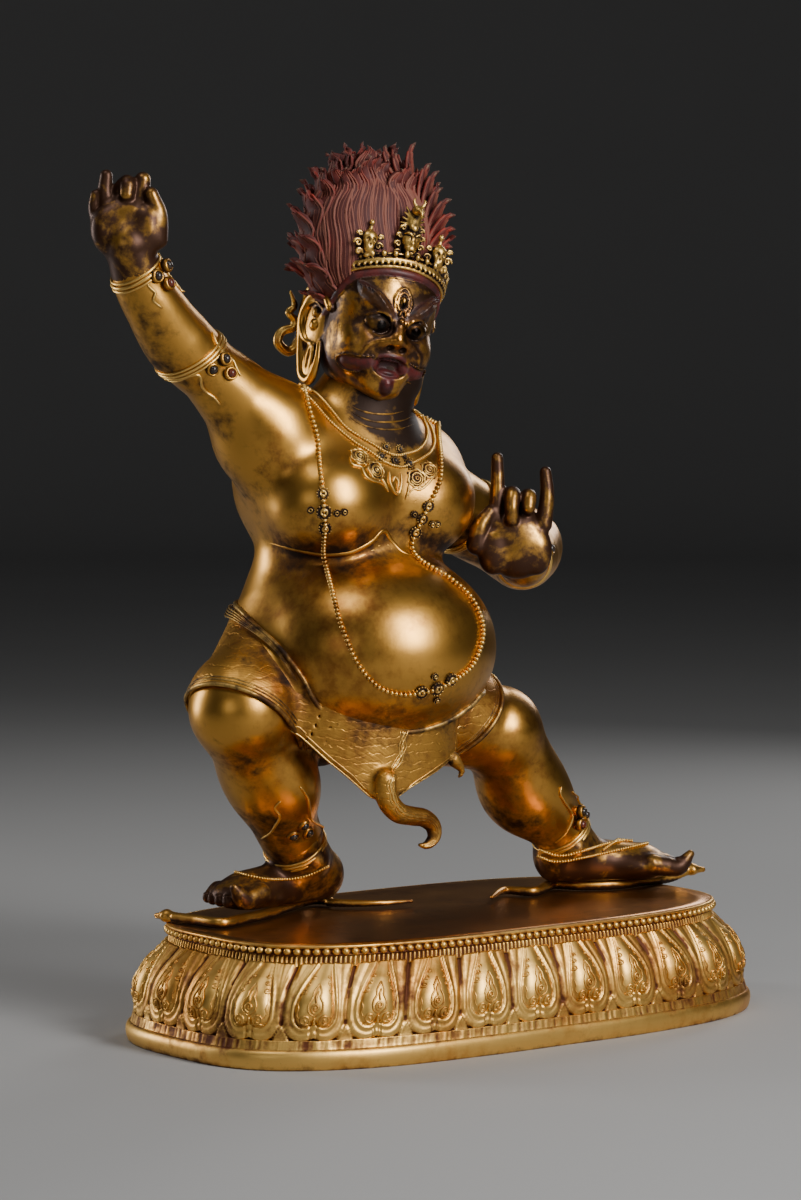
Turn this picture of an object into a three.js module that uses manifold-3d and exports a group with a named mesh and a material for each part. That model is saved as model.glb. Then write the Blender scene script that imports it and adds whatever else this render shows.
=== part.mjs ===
// A wrathful three-eyed protector in gilt bronze, striding on two snakes over a lotus plinth.
// Millimetres, +Z up. The origin is the middle of the plinth's underside, on the surface it stands on.
// The figure faces -Y and its right side is on -X. Each mesh is one closed solid.
import * as THREE from 'three';
import { mergeVertices } from 'three/addons/utils/BufferGeometryUtils.js';
import Module from 'manifold-3d';

const wasm = await Module();
wasm.setup();

// Driving dimensions of the plinth: an oval with flattened sides, wider at the foot than at the top
const PLATE_HALF_LENGTH = 230;
const PLATE_HALF_WIDTH = 124.3;
const FLARE_LENGTH = 30;
const FLARE_WIDTH = 16.8;
const OVAL_POWER = 3.162;
const PLATE_TOP = 88.9;
const PETALS = 28;
const FIRST_PETAL = 0.625;
const PETAL_DEPTH = 6;

// Driving dimensions of the figure
const SOLE = 97.5;
const SNAKE_RADIUS = 4.2;
const SET_GAP = 0.45;
const SHIN_RADIUS = 22.5;
const STONE_RADIUS = 3.6;
const SETTING_RADIUS = 5.2;
const SETTING_RISE = 2.2;
const SETTING_ROOT = 6;
const FINGER_RADIUS = 5;
const CLOTH = 3.5;

// Joints of the body, where the limbs turn
const JOINTS = {
  pelvis: [-72, 34, 262],
  chest: [-72, 32, 420],
  neckBase: [-70, 28, 470],
  neckTop: [-58, 12, 512],
  rightShoulder: [-146, 32, 464],
  rightElbow: [-229, 31, 533],
  rightWrist: [-274, 24, 592],
  leftShoulder: [-4, 38, 436],
  leftElbow: [111, 43, 370],
  leftWrist: [58, -24, 362],
  rightHip: [-112, 34, 262],
  rightKnee: [-192, 8, 256],
  rightAnkle: [-107, 49, 134],
  leftHip: [-32, 34, 258],
  leftKnee: [58, 10, 226],
  leftAnkle: [141, 20, 128],
};

// Inlaid stones: the middle of each setting on the skin, and the way it faces
const STONES = {
  stone_right_wrist_1: [[-265, 5.5, 583], [-0.35, -0.93, 0]],
  stone_right_wrist_2: [[-257, 5, 578], [0.1, -0.99, 0.1]],
  stone_right_wrist_3: [[-259, 5, 591], [0.3, -0.95, 0.1]],
  stone_right_arm_1: [[-207, 5, 521], [0.1, -0.97, 0.2]],
  stone_right_arm_2: [[-215, 7, 514], [-0.4, -0.88, -0.2]],
  stone_right_arm_3: [[-203, 5, 511], [0.1, -0.99, 0]],
  stone_left_wrist: [[84, -18, 370], [0.75, -0.6, 0.2]],
  stone_right_ankle_1: [[-135, 19, 157], [-0.5, -0.86, 0]],
  stone_right_ankle_2: [[-123, 16, 156], [0, -1, 0]],
  stone_right_ankle_3: [[-133, 12, 166], [-0.2, -0.98, 0]],
  stone_left_ankle_1: [[129, -10, 157], [0.3, -0.93, 0.2]],
  stone_left_ankle_2: [[130, -8, 146], [0.2, -0.96, 0.2]],
  stone_left_ankle_3: [[137, -3, 153], [0.77, -0.6, 0.3]],
};

// The head is modelled upright, looking along -Y, then turned and tilted onto the neck
const HEAD_CENTRE = [-61, 12.6, 541.4];
const HEAD_PITCH = 5;
const HEAD_TILT = 11;
const HEAD_TURN = -13;
const HEAD_RADII = [42, 46, 48];

// Flame hair: a dome with tiers of pointed locks
const HAIR_CENTRE = [-58, 23, 609];
const HAIR_RADII = [55, 42, 61];
const HAIR_TIERS = [
  { lift: -30, locks: 7, length: 18, from: 0, to: 190 },
  { lift: -6, locks: 9, length: 19, from: -20, to: 205 },
  { lift: 17, locks: 11, length: 20, from: -45, to: 222 },
  { lift: 38, locks: 12, length: 20, from: -80, to: 250 },
  { lift: 58, locks: 9, length: 20, from: -90, to: 230 },
  { lift: 77, locks: 4, length: 19, from: -90, to: 180 },
];

const GILT = { color: 0xb0813c, roughness: 0.34, metalness: 1 };
const DARK_GILT = { color: 0x8a6230, roughness: 0.38, metalness: 1 };
const RED_PIGMENT = { color: 0x7c3a2e, roughness: 0.8, metalness: 0 };
const STONE = { color: 0x2d2b28, roughness: 0.3, metalness: 0 };

// Rounded shapes are divided this much more finely than their counts say, and the joined skins lightened
const FINENESS = 1.6;
const finely = (count) => Math.round(count * FINENESS);
const FIGURE_TRIANGLES = 3850;
const HAIR_TRIANGLES = 700;
const CROWN_TRIANGLES = 740;
const SNAKE_TRIANGLES = 180;

const v = ([x, y, z]) => new THREE.Vector3(x, y, z);
const radians = THREE.MathUtils.degToRad;

/** A three.js geometry as a manifold solid, with its repeated vertices joined and facing outwards. */
function solid(geometry) {
  const bare = geometry.clone();
  bare.deleteAttribute('normal');
  bare.deleteAttribute('uv');
  const merged = mergeVertices(bare, 1e-4);
  const place = merged.attributes.position;
  const corners = Array.from(merged.index.array);
  const faces = [];
  let volume = 0;
  for (let i = 0; i < corners.length; i += 3) {
    const [a, b, c] = corners.slice(i, i + 3);
    if (a === b || b === c || c === a) continue;
    faces.push([a, b, c]);
    const [p, q, r] = [a, b, c].map((k) => new THREE.Vector3().fromBufferAttribute(place, k));
    volume += p.dot(q.cross(r));
  }
  const triVerts = new Uint32Array(faces.flatMap((face) => (volume < 0 ? face.toReversed() : face)));
  return new wasm.Manifold(new wasm.Mesh({
    numProp: 3, vertProperties: new Float32Array(place.array), triVerts,
  }));
}

/** All the given solids as one. */
const join = (solids) => solids.reduce((whole, piece) => whole.add(piece));

/** An ellipsoid, turned by degrees about X, Y and Z in that order. */
function ball(centre, radii, { turn = [0, 0, 0], sides = 8, rows = 6 } = {}) {
  const geometry = new THREE.SphereGeometry(1, finely(sides), finely(rows)).rotateX(Math.PI / 2);
  geometry.scale(...radii);
  geometry.rotateX(radians(turn[0])).rotateY(radians(turn[1])).rotateZ(radians(turn[2]));
  return solid(geometry.translate(...centre));
}

/**
 * A rounded cone between two centres, turned on a lathe and laid along its line. The steps are pairs of
 * a share of the way and how far the skin stands out there, for a calf or a hem.
 */
function limb(from, to, startRadius, endRadius, { sides = 8, capRows = 2, steps = [] } = {}) {
  const [start, end] = [v(from), v(to)];
  const length = start.distanceTo(end);
  const lean = Math.asin((startRadius - endRadius) / length);
  const profile = [new THREE.Vector2(0, -startRadius)];
  const point = (radius, height, angle) => {
    profile.push(new THREE.Vector2(radius * Math.cos(angle), height + radius * Math.sin(angle)));
  };
  const startRise = steps.length > 0 && steps[0][0] === 0 ? steps[0][1] : 0;
  for (let i = 1; i <= capRows; i += 1) {
    point(startRadius + startRise, 0, lean + (Math.PI / 2 + lean) * (i / capRows - 1));
  }
  for (const [share, rise] of steps.filter(([at]) => at > 0)) {
    point(THREE.MathUtils.lerp(startRadius, endRadius, share) + rise, length * share, 0);
  }
  for (let i = 0; i < capRows; i += 1) point(endRadius, length, lean + (Math.PI / 2 - lean) * (i / capRows));
  profile.push(new THREE.Vector2(0, length + endRadius));
  const geometry = new THREE.LatheGeometry(profile, finely(sides));
  const line = end.clone().sub(start).normalize();
  geometry.applyQuaternion(new THREE.Quaternion().setFromUnitVectors(new THREE.Vector3(0, 1, 0), line));
  return solid(geometry.translate(...from));
}

/** A closed skin over rings of points, each end closed to a single tip. */
function ringSkin(rings, startTip, endTip) {
  const count = rings[0].length;
  const points = [...rings.flat(), startTip, endTip];
  const start = rings.length * count;
  const index = [];
  for (let i = 0; i < count; i += 1) {
    const next = (i + 1) % count;
    const last = (rings.length - 1) * count;
    index.push(start, next, i, start + 1, last + i, last + next);
    for (let row = 0; row < last; row += count) {
      index.push(row + i, row + next, row + count + next, row + i, row + count + next, row + count + i);
    }
  }
  const geometry = new THREE.BufferGeometry().setFromPoints(points);
  geometry.setIndex(index);
  return geometry;
}

/** A tapering roll along a smooth curve through the given points, round or flattened. */
function roll(points, radiusAt, { sides = 6, steps = points.length * 3, flat = 1 } = {}) {
  const curve = new THREE.CatmullRomCurve3(points.map(v), false, 'centripetal');
  const [turns, cuts] = [finely(sides), finely(steps)];
  const frames = curve.computeFrenetFrames(cuts);
  const rings = [];
  for (let i = 0; i <= cuts; i += 1) {
    const centre = curve.getPointAt(i / cuts);
    const radius = radiusAt(i / cuts);
    const ring = [];
    for (let k = 0; k < turns; k += 1) {
      const angle = (2 * Math.PI * k) / turns;
      const across = frames.normals[i].clone().multiplyScalar(radius * Math.cos(angle) * flat);
      const up = frames.binormals[i].clone().multiplyScalar(radius * Math.sin(angle));
      ring.push(centre.clone().add(across).add(up));
    }
    rings.push(ring);
  }
  const startTip = curve.getPointAt(0).addScaledVector(frames.tangents[0], -radiusAt(0) * 0.7);
  const endTip = curve.getPointAt(1).addScaledVector(frames.tangents.at(-1), radiusAt(1) * 0.7);
  return solid(ringSkin(rings, startTip, endTip));
}

/** The value at a share of the way through a list of evenly spaced values. */
function through(values, t) {
  const place = t * (values.length - 1);
  const before = Math.min(Math.floor(place), values.length - 2);
  return THREE.MathUtils.lerp(values[before], values[before + 1], place - before);
}

const along = (radii) => (t) => through(radii, t);
const even = (radius) => () => radius;
const pointed = (radius) => (t) => radius * (1 - 0.9 * t ** 2);
const spindle = (radius) => (t) => radius * (0.35 + 0.65 * Math.sin(Math.PI * Math.min(1, t * 1.1)));

/** A prism from an outline in the XZ plane, from one depth in Y to another. */
function slab(outline, front, back) {
  const shape = new THREE.Shape(outline.map(([x, z]) => new THREE.Vector2(x, z)));
  const geometry = new THREE.ExtrudeGeometry(shape, { depth: back - front, bevelEnabled: false });
  return solid(geometry.rotateX(Math.PI / 2).translate(0, back, 0));
}

/** A solid turned by the head's own turn and moved onto the neck. */
function ontoNeck(piece) {
  const turn = new THREE.Euler(radians(HEAD_PITCH), radians(HEAD_TILT), radians(HEAD_TURN), 'ZYX');
  const matrix = new THREE.Matrix4().makeRotationFromEuler(turn).setPosition(...HEAD_CENTRE);
  return piece.transform(matrix.elements);
}

const mirrored = ([x, y, z]) => [-x, y, z];

/** The corners and faces of a solid, as points and triples. */
function skinOf(piece) {
  const { numProp, vertProperties, triVerts } = piece.getMesh();
  const points = [];
  for (let i = 0; i < vertProperties.length; i += numProp) points.push(v(vertProperties.slice(i, i + 3)));
  const faces = [];
  for (let i = 0; i < triVerts.length; i += 3) faces.push([...triVerts.slice(i, i + 3)]);
  return { points, faces };
}

/** A solid from points and triples, leaving out the points that no face uses. */
function solidFrom({ points, faces }) {
  const geometry = new THREE.BufferGeometry().setFromPoints(faces.flat().map((k) => points[k]));
  geometry.setIndex(faces.flat().map((_, k) => k));
  return solid(geometry);
}

const normalOf = (points, [a, b, c]) => points[b].clone().sub(points[a])
  .cross(points[c].clone().sub(points[a]));

/** The outer skin alone: where joined forms close off a pocket between them, the metal fills it. */
function filled(piece) {
  const { points, faces } = skinOf(piece);
  const group = points.map((_, k) => k);
  const rootOf = (k) => {
    let root = k;
    while (group[root] !== root) root = group[root];
    group[k] = root;
    return root;
  };
  for (const [a, b, c] of faces) {
    group[rootOf(b)] = rootOf(a);
    group[rootOf(c)] = rootOf(a);
  }
  const volumes = new Map();
  for (const face of faces) {
    const [a, b, c] = face.map((k) => points[k]);
    const root = rootOf(face[0]);
    volumes.set(root, (volumes.get(root) ?? 0) + a.dot(b.clone().cross(c)));
  }
  const outer = [...volumes].sort(([, one], [, two]) => two - one)[0][0];
  return solidFrom({ points, faces: faces.filter(([a]) => rootOf(a) === outer) });
}

/** The same solid with its skin moved outwards by a gap. */
function grown(piece, gap) {
  const { points, faces } = skinOf(piece);
  const push = points.map(() => new THREE.Vector3());
  for (const face of faces) {
    const normal = normalOf(points, face);
    for (const k of face) push[k].add(normal);
  }
  const moved = points.map((point, k) => point.clone().addScaledVector(push[k].normalize(), gap));
  return solidFrom({ points: moved, faces });
}

/** A solid cut back from its neighbours, leaving a fine gap all round them. */
const clearOf = (piece, neighbours) => neighbours.reduce(
  (rest, other) => rest.subtract(grown(other, SET_GAP)).subtract(other), piece,
);

/** How far a point lies from the planes summed into a vertex, as a squared distance. */
function strayFrom(sum, { x, y, z }) {
  const [xx, xy, xz, xd, yy, yz, yd, zz, zd, dd] = sum;
  return xx * x * x + 2 * xy * x * y + 2 * xz * x * z + 2 * xd * x + yy * y * y + 2 * yz * y * z + 2 * yd * y
    + zz * z * z + 2 * zd * z + dd;
}

/** The place for the point that an edge closes up to, and what that does to the form. */
function closing(points, sums, a, b) {
  const sum = sums[a].map((value, k) => value + sums[b][k]);
  const [xx, xy, xz, xd, yy, yz, yd, zz, zd] = sum;
  const middle = points[a].clone().lerp(points[b], 0.5);
  const hold = 1e-3 * (xx + yy + zz) + 1e-9;
  const inverse = new THREE.Matrix3().set(xx + hold, xy, xz, xy, yy + hold, yz, xz, yz, zz + hold).invert();
  const place = middle.clone().multiplyScalar(hold).sub(new THREE.Vector3(xd, yd, zd)).applyMatrix3(inverse);
  return { a, b, sum, place, cost: strayFrom(sum, place) + 1e-3 * points[a].distanceToSquared(points[b]) };
}

/** Fewer triangles for the same form: pass by pass, the edges that say least about it are closed up. */
function lighten(piece, target) {
  const { points, faces } = skinOf(piece);
  const around = points.map(() => new Set());
  const sums = points.map(() => new Array(10).fill(0));
  faces.forEach((face, index) => {
    const normal = normalOf(points, face);
    const area = normal.length();
    const [x, y, z] = normal.normalize().toArray();
    const d = -normal.dot(points[face[0]]);
    const plane = [x * x, x * y, x * z, x * d, y * y, y * z, y * d, z * z, z * d, d * d];
    for (const k of face) {
      around[k].add(index);
      sums[k] = sums[k].map((value, at) => value + plane[at] * area);
    }
  });
  const alive = new Set(faces.keys());
  const neighbours = (k) => {
    const corners = [...around[k]].flatMap((index) => faces[index]);
    return new Set(corners.filter((other) => other !== k));
  };
  const keepsFacing = (k, other, place) => [...around[k]].every((index) => {
    const face = faces[index];
    if (face.includes(other)) return true;
    const before = normalOf(points, face);
    const corners = face.map((corner) => (corner === k ? place : points[corner]));
    const after = normalOf(corners, [0, 1, 2]);
    return after.length() > 0.02 && before.normalize().dot(after.normalize()) > 0.35;
  });
  for (let pass = 0; pass < 60 && alive.size > target; pass += 1) {
    const edges = [];
    for (const index of alive) {
      const [a, b, c] = faces[index];
      for (const [p, q] of [[a, b], [b, c], [c, a]]) if (p < q) edges.push(closing(points, sums, p, q));
    }
    edges.sort((one, two) => one.cost - two.cost);
    const touched = new Set();
    for (const { a, b, sum, place } of edges.slice(0, Math.ceil(edges.length / 4))) {
      if (alive.size <= target) break;
      if (touched.has(a) || touched.has(b)) continue;
      const [near, far] = [neighbours(a), neighbours(b)];
      const shared = [...near].filter((k) => far.has(k));
      if (shared.length !== 2 || !keepsFacing(a, b, place) || !keepsFacing(b, a, place)) continue;
      for (const index of around[b]) {
        const face = faces[index];
        if (face.includes(a)) {
          alive.delete(index);
          for (const k of face) if (k !== b) around[k].delete(index);
        } else {
          face[face.indexOf(b)] = a;
          around[a].add(index);
        }
      }
      around[b].clear();
      points[a] = place;
      sums[a] = sum;
      for (const k of [a, b, ...near, ...far]) touched.add(k);
    }
  }
  return solidFrom({ points, faces: [...alive].map((index) => faces[index]) });
}

/** The points of a level ring round the plinth, a fixed number to each petal. */
function plinthRing(columns, { z, spread, relief }) {
  const samples = 2880;
  const oval = (angle, reach) => {
    const [c, s] = [Math.cos(angle), Math.sin(angle)];
    const size = (Math.abs(c) ** OVAL_POWER + Math.abs(s) ** OVAL_POWER) ** (-1 / OVAL_POWER);
    const halfLength = PLATE_HALF_LENGTH + FLARE_LENGTH * reach;
    const halfWidth = PLATE_HALF_WIDTH + FLARE_WIDTH * reach;
    return new THREE.Vector3(halfLength * size * c, halfWidth * size * s, z);
  };
  const lengths = [0];
  for (let i = 1; i <= samples; i += 1) {
    const [a, b] = [i - 1, i].map((k) => oval((2 * Math.PI * k) / samples, 0.85));
    lengths.push(lengths[i - 1] + a.distanceTo(b));
  }
  const cuts = [-PETAL_DEPTH, 0.6, 0.6];
  const ring = [];
  for (let column = 0; column < columns; column += 1) {
    const share = ((column / columns + (FIRST_PETAL - 0.5) / PETALS) % 1) * lengths.at(-1);
    const after = lengths.findIndex((length) => length > share);
    const part = (share - lengths[after - 1]) / (lengths[after] - lengths[after - 1]);
    const angle = (2 * Math.PI * (after - 1 + part)) / samples;
    const point = oval(angle, spread);
    const ahead = oval(angle + 0.01, spread).sub(oval(angle - 0.01, spread));
    const out = new THREE.Vector3(ahead.y, -ahead.x, 0).normalize();
    ring.push(point.addScaledVector(out, relief * cuts[column % cuts.length]));
  }
  return ring;
}

/** The plinth: rounded foot, hatched fillet, a ring of bulging petals, fluted band, beaded rim and plate. */
function plinth() {
  const rows = [
    { z: 0, spread: 1.03, relief: 0 },
    { z: 5, spread: 1.09, relief: 0 },
    { z: 12, spread: 1.07, relief: 0 },
    { z: 16, spread: 0.93, relief: 0 },
    { z: 23, spread: 0.84, relief: 0.6 },
    { z: 36, spread: 0.87, relief: 1 },
    { z: 48, spread: 0.77, relief: 1 },
    { z: 59, spread: 0.55, relief: 0.9 },
    { z: 69, spread: 0.25, relief: 0.7 },
    { z: 75, spread: -0.1, relief: 0 },
    { z: 80.5, spread: -0.14, relief: 0 },
    { z: 83, spread: 0.06, relief: 0 },
    { z: PLATE_TOP, spread: -0.04, relief: 0 },
  ];
  const rings = rows.map((row) => plinthRing(PETALS * 3, row));
  return solid(ringSkin(rings, v([0, 0, 0]), v([0, 0, PLATE_TOP])));
}

/** One level slice of the trunk: an oval that reaches further in front or behind. */
function slice([z, x, y, halfWidth, front, back], sides) {
  const ring = [];
  for (let i = 0; i < sides; i += 1) {
    const angle = (2 * Math.PI * i) / sides;
    const depth = Math.sin(angle) < 0 ? front : back;
    ring.push(v([x + halfWidth * Math.cos(angle), y + depth * Math.sin(angle), z]));
  }
  return ring;
}

/** The trunk from the seat to the neck, the belly and the chest that folds over it. */
function torso() {
  const slices = [
    [214, -72, 34, 46, 40, 32], [238, -72, 34, 70, 52, 50], [268, -72, 35, 84, 60, 62],
    [302, -72, 36, 86, 64, 64], [338, -72, 36, 86, 62, 62], [372, -72, 36, 90, 62, 62],
    [412, -73, 35, 95, 66, 62], [444, -73, 34, 94, 58, 58], [468, -72, 31, 82, 48, 50],
    [486, -69, 27, 58, 42, 42], [500, -64, 21, 42, 37, 37], [522, -57, 14, 37, 33, 36],
  ];
  const rings = slices.map((level) => slice(level, 20));
  return join([
    solid(ringSkin(rings, v([-72, 34, 208]), v([-56, 12, 528]))),
    ball([-72, 2, 302], [98, 95, 73], { sides: 16, rows: 10 }),
    ball([-117, 8, 412], [55, 42, 46], { turn: [0, 0, -14], sides: 10, rows: 8 }),
    ball([-27, 8, 412], [55, 42, 46], { turn: [0, 0, 14], sides: 10, rows: 8 }),
  ]);
}

/** Both arms down to the hands, each as one tapering roll along its own joints. */
function arms() {
  const { rightShoulder, rightElbow, rightWrist, leftShoulder, leftElbow, leftWrist } = JOINTS;
  const right = [[-112, 34, 436], rightShoulder, [-188, 31, 501], rightElbow, [-252, 27, 563], rightWrist,
    [-283, 21, 612]];
  const left = [[-34, 37, 450], leftShoulder, [54, 42, 402], leftElbow, [116, 46, 367]];
  const fore = [[122, 52, 368], [92, 20, 366], leftWrist, [40, -33, 370]];
  return join([
    roll(right, along([44, 43, 32, 25, 25, 20, 17]), { sides: 8, steps: 9 }),
    roll(left, along([38, 37, 33, 31, 28]), { sides: 8, steps: 6 }),
    roll(fore, along([29, 31, 23, 17]), { sides: 8, steps: 5 }),
  ]);
}

/** Both legs from the hips to the ankles: thighs under the cloth with its hem, and heavy calves. */
function legs() {
  const { rightHip, rightKnee, rightAnkle, leftHip, leftKnee, leftAnkle } = JOINTS;
  const calf = { sides: 9, capRows: 2, steps: [[0.3, 5], [0.6, 5]] };
  const clothed = (hem) => ({ sides: 11, capRows: 2, steps: [[0, CLOTH], [hem, CLOTH], [hem + 0.03, 0]] });
  return join([
    limb(rightHip, rightKnee, 59, 36, clothed(0.62)),
    limb(rightKnee, rightAnkle, 37, SHIN_RADIUS, calf),
    limb(leftHip, leftKnee, 57, 33, clothed(0.66)),
    limb(leftKnee, leftAnkle, 34, SHIN_RADIUS, calf),
  ]);
}

/** A foot with five toes in a row, the big toe turned up at the inner side. */
function foot(heel, ball0, ankle, toes) {
  const low = SOLE + 14;
  const parts = [
    limb([...heel, low + 6], [...ball0, low + 1], 20, 17),
    limb(ankle, [...heel, low + 10], 23, 20),
    ball([...ball0, low], [29, 27, 14], { turn: [0, 0, toes.heading], rows: 4 }),
  ];
  const along = new THREE.Vector2(Math.cos(radians(toes.heading)), Math.sin(radians(toes.heading)));
  const inward = new THREE.Vector2(along.y, -along.x).multiplyScalar(toes.inner);
  for (let i = 0; i < 5; i += 1) {
    const side = 20 - 10.5 * i;
    const reach = toes.reach[i];
    const radius = i === 0 ? 8.5 : 6.2 - 0.35 * i;
    const at = (forward) => [
      ball0[0] + inward.x * side + along.x * forward, ball0[1] + inward.y * side + along.y * forward,
    ];
    parts.push(limb([...at(8), low - 4], [...at(reach), low - 5], radius + 1.5, radius, { sides: 4 }));
    if (i === 0) {
      parts.push(limb([...at(reach), low - 3], [...at(reach + 11), low + 6], radius - 1, 3.5, { sides: 5 }));
    }
  }
  const ground = solid(new THREE.BoxGeometry(260, 260, 60).translate(heel[0], heel[1], SOLE - 30));
  return join(parts).subtract(ground);
}

/** A hand: palm, heel of the thumb and fingers, each finger a chain of joints. */
function hand({ palm, palmRadii, turn, heel, heelRadius, fingers }) {
  const parts = [
    ball(palm, palmRadii, { turn }),
    ball(heel, [heelRadius, heelRadius, heelRadius * 1.3], { sides: 6, rows: 5 }),
  ];
  for (const { joints, thick = 1 } of fingers) {
    const thickness = (t) => FINGER_RADIUS * thick * (1 - 0.22 * t);
    parts.push(roll(joints, thickness, { sides: 4, steps: joints.length }));
  }
  return join(parts);
}

/** The raised right hand, with two fingers up and the middle one curled onto the palm. */
function rightHand() {
  return hand({
    palm: [-284, 21, 618], palmRadii: [25, 14, 25], turn: [0, 0, -37],
    heel: [-271, 8, 610], heelRadius: 12,
    fingers: [
      { joints: [[-299, 31, 624], [-303, 33, 636], [-301, 28, 645]] },
      { joints: [[-292, 26, 630], [-297, 30, 646], [-295, 31, 660]] },
      { joints: [[-283, 22, 630], [-284, 22, 648], [-283, 14, 651], [-281, 10, 643]], thick: 1.15 },
      { joints: [[-275, 17, 632], [-275, 16, 648], [-273, 13, 657]], thick: 1.05 },
      { joints: [[-269, 8, 614], [-263, 5, 632], [-266, 6, 648]], thick: 1.15 },
    ],
  });
}

/** The left hand before the chest side, palm out, with the first and last fingers up. */
function leftHand() {
  return hand({
    palm: [37, -35, 376], palmRadii: [25, 13, 24], turn: [0, 0, -37],
    heel: [18, -23, 378], heelRadius: 12,
    fingers: [
      { joints: [[28, -26, 396], [27, -25, 420], [30, -25, 444]], thick: 1.05 },
      { joints: [[35, -31, 396], [36, -32, 419], [30, -43, 410], [32, -44, 398]], thick: 1.1 },
      { joints: [[46, -40, 394], [47, -40, 417], [41, -51, 409], [42, -50, 397]], thick: 1.05 },
      { joints: [[57, -47, 392], [60, -49, 414], [61, -48, 435]] },
      { joints: [[16, -20, 384], [19, -22, 398], [24, -28, 405]], thick: 1.2 },
    ],
  });
}

/** The head with its third eye, flame brows, broad nose, open mouth, moustache, beard and long ears. */
function head() {
  const pairs = (points, radius, options) => [
    roll(points, radius, options),
    roll(points.map(mirrored), radius, options),
  ];
  const brow = [[2, -45, 15], [10, -45, 19], [19, -36, 24], [28, -24, 33]];
  const moustache = [[1, -47, -13], [12, -44, -14], [21, -36, -22], [31, -26, -23]];
  const beard = [[36, -4, -20], [35, -18, -34], [24, -28, -43], [6, -36, -46]];
  const hairline = [[40, -2, 12], [38, -14, 26], [29, -28, 39], [14, -35, 46], [0, -37, 47]];
  const ear = [[42, 2, 14], [45, 12, 20], [48, 24, 13], [48, 27, -3], [46, 20, -20], [45, 14, -39],
    [44, 6, -40], [42, 2, -22]];
  const parts = [
    ball([0, 0, 2], HEAD_RADII, { sides: 12, rows: 8 }),
    ball([0, -6, -20], [41, 39, 32], { sides: 12, rows: 8 }),
    ball([-22, -26, -10], [17, 16, 17], { sides: 6, rows: 4 }),
    ball([22, -26, -10], [17, 16, 17], { sides: 6, rows: 4 }),
    ball([0, -33, -38], [17, 12, 13], { sides: 6, rows: 4 }),
    limb([0, -42, 14], [0, -50, -3], 5, 8.5, { sides: 6 }),
    ball([0, -45, -6], [14, 7, 5.5], { sides: 6, rows: 4 }),
    ball([-16, -39, 8.5], [10, 8, 7.5], { sides: 6, rows: 4 }),
    ball([16, -39, 8.5], [10, 8, 7.5], { sides: 6, rows: 4 }),
    ball([0, -42, 27], [5.5, 6, 9], { sides: 5, rows: 4 }),
    ...pairs(brow, pointed(4.2), { sides: 3, steps: 2 }),
    ...pairs(moustache, pointed(4.4), { sides: 3, steps: 3 }),
    ...pairs(beard, spindle(5.5), { sides: 3, steps: 3 }),
    ...pairs(hairline, even(3), { sides: 3, steps: 3 }),
    ...pairs(ear, even(5), { sides: 3, steps: 7 }),
    ball([-44, 13, -3], [4, 11, 19], { sides: 5, rows: 4 }),
    ball([44, 13, -3], [4, 11, 19], { sides: 5, rows: 4 }),
  ];
  const mouth = ball([0, -45, -26], [13, 6, 5.5], { sides: 8 });
  return ontoNeck(join(parts).subtract(mouth));
}

/** The cloth round the hips, its hem rolled over the thighs, and the apron that ends in a curled tail. */
function loincloth() {
  const apron = [[-160, 250], [-158, 222], [-134, 207], [-113, 195], [-102, 185], [-90, 184],
    [-76, 195], [-58, 200], [-38, 209], [-20, 226], [-6, 232], [-2, 250]];
  const tail = [[-104, -50, 198], [-97, -53, 187], [-85, -56, 177], [-71, -56, 171], [-60, -56, 163],
    [-56, -55, 153], [-63, -54, 149]];
  const belt = [[-152, 30, 322], [-155, -24, 302], [-140, -62, 274], [-112, -78, 257], [-72, -84, 252],
    [-32, -76, 258], [-2, -58, 276]];
  return join([
    slab(apron, -55, -47),
    ball([-80, -6, 240], [60, 40, 32], { rows: 4 }),
    roll(tail, (t) => 9 - 4.5 * t, { sides: 6, steps: 10, flat: 0.7 }),
    roll(belt, even(3.6), { sides: 3, steps: 8 }),
  ]);
}

/** Beaded necklaces and the long chain round the belly, as plain rolls that lie on the skin. */
function chains() {
  const necklace = [[-112, 6, 482], [-110, -20, 458], [-98, -38, 440], [-80, -45, 430], [-60, -44, 434],
    [-42, -36, 444], [-26, -16, 462]];
  const longChain = [[-130, 4, 478], [-134, -18, 450], [-138, -34, 412], [-133, -32, 378], [-146, -42, 345],
    [-148, -60, 318], [-138, -76, 290], [-120, -84, 270], [-100, -88, 262], [-78, -90, 262], [-58, -90, 272],
    [-38, -88, 292], [-28, -80, 318], [-34, -68, 345], [-46, -48, 366], [-48, -44, 392], [-44, -44, 414],
    [-30, -38, 436], [-22, -18, 462]];
  const rosettes = [[-136, -38, 412], [-136, -36, 396], [-48, -48, 408], [-50, -46, 392], [-90, -91, 263],
    [-70, -92, 264]];
  return join([
    roll(necklace, even(4.6), { sides: 3, steps: 7 }),
    ball([-80, -46, 422], [13, 4.5, 15], { turn: [-14, 0, -8], sides: 6, rows: 4 }),
    roll(longChain, even(3.4), { sides: 3, steps: 17 }),
    ...rosettes.map((place) => ball(place, [7, 5, 7], { sides: 5, rows: 4 })),
  ]);
}

/** Plain rings at the wrists, upper arm and ankles. */
function bangles() {
  const ring = (centre, along, radius, thick) => {
    const geometry = new THREE.TorusGeometry(radius, thick, finely(3), finely(10));
    const turn = new THREE.Quaternion().setFromUnitVectors(new THREE.Vector3(0, 0, 1), v(along).normalize());
    return solid(geometry.applyQuaternion(turn).translate(...centre));
  };
  return join([
    ring([-269, 25, 586], [-0.6, -0.08, 0.79], 20.5, 3),
    ring([-206, 31, 515], [-0.77, 0, 0.63], 27.5, 3),
    ring([64, -17, 362], [-0.63, -0.78, -0.09], 23.5, 3),
    ring([-111, 47, 138], [0.56, 0.27, -0.78], 24.5, 3),
    ring([137, 20, 132], [0.62, 0.08, -0.78], 24, 3),
  ]);
}

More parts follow.
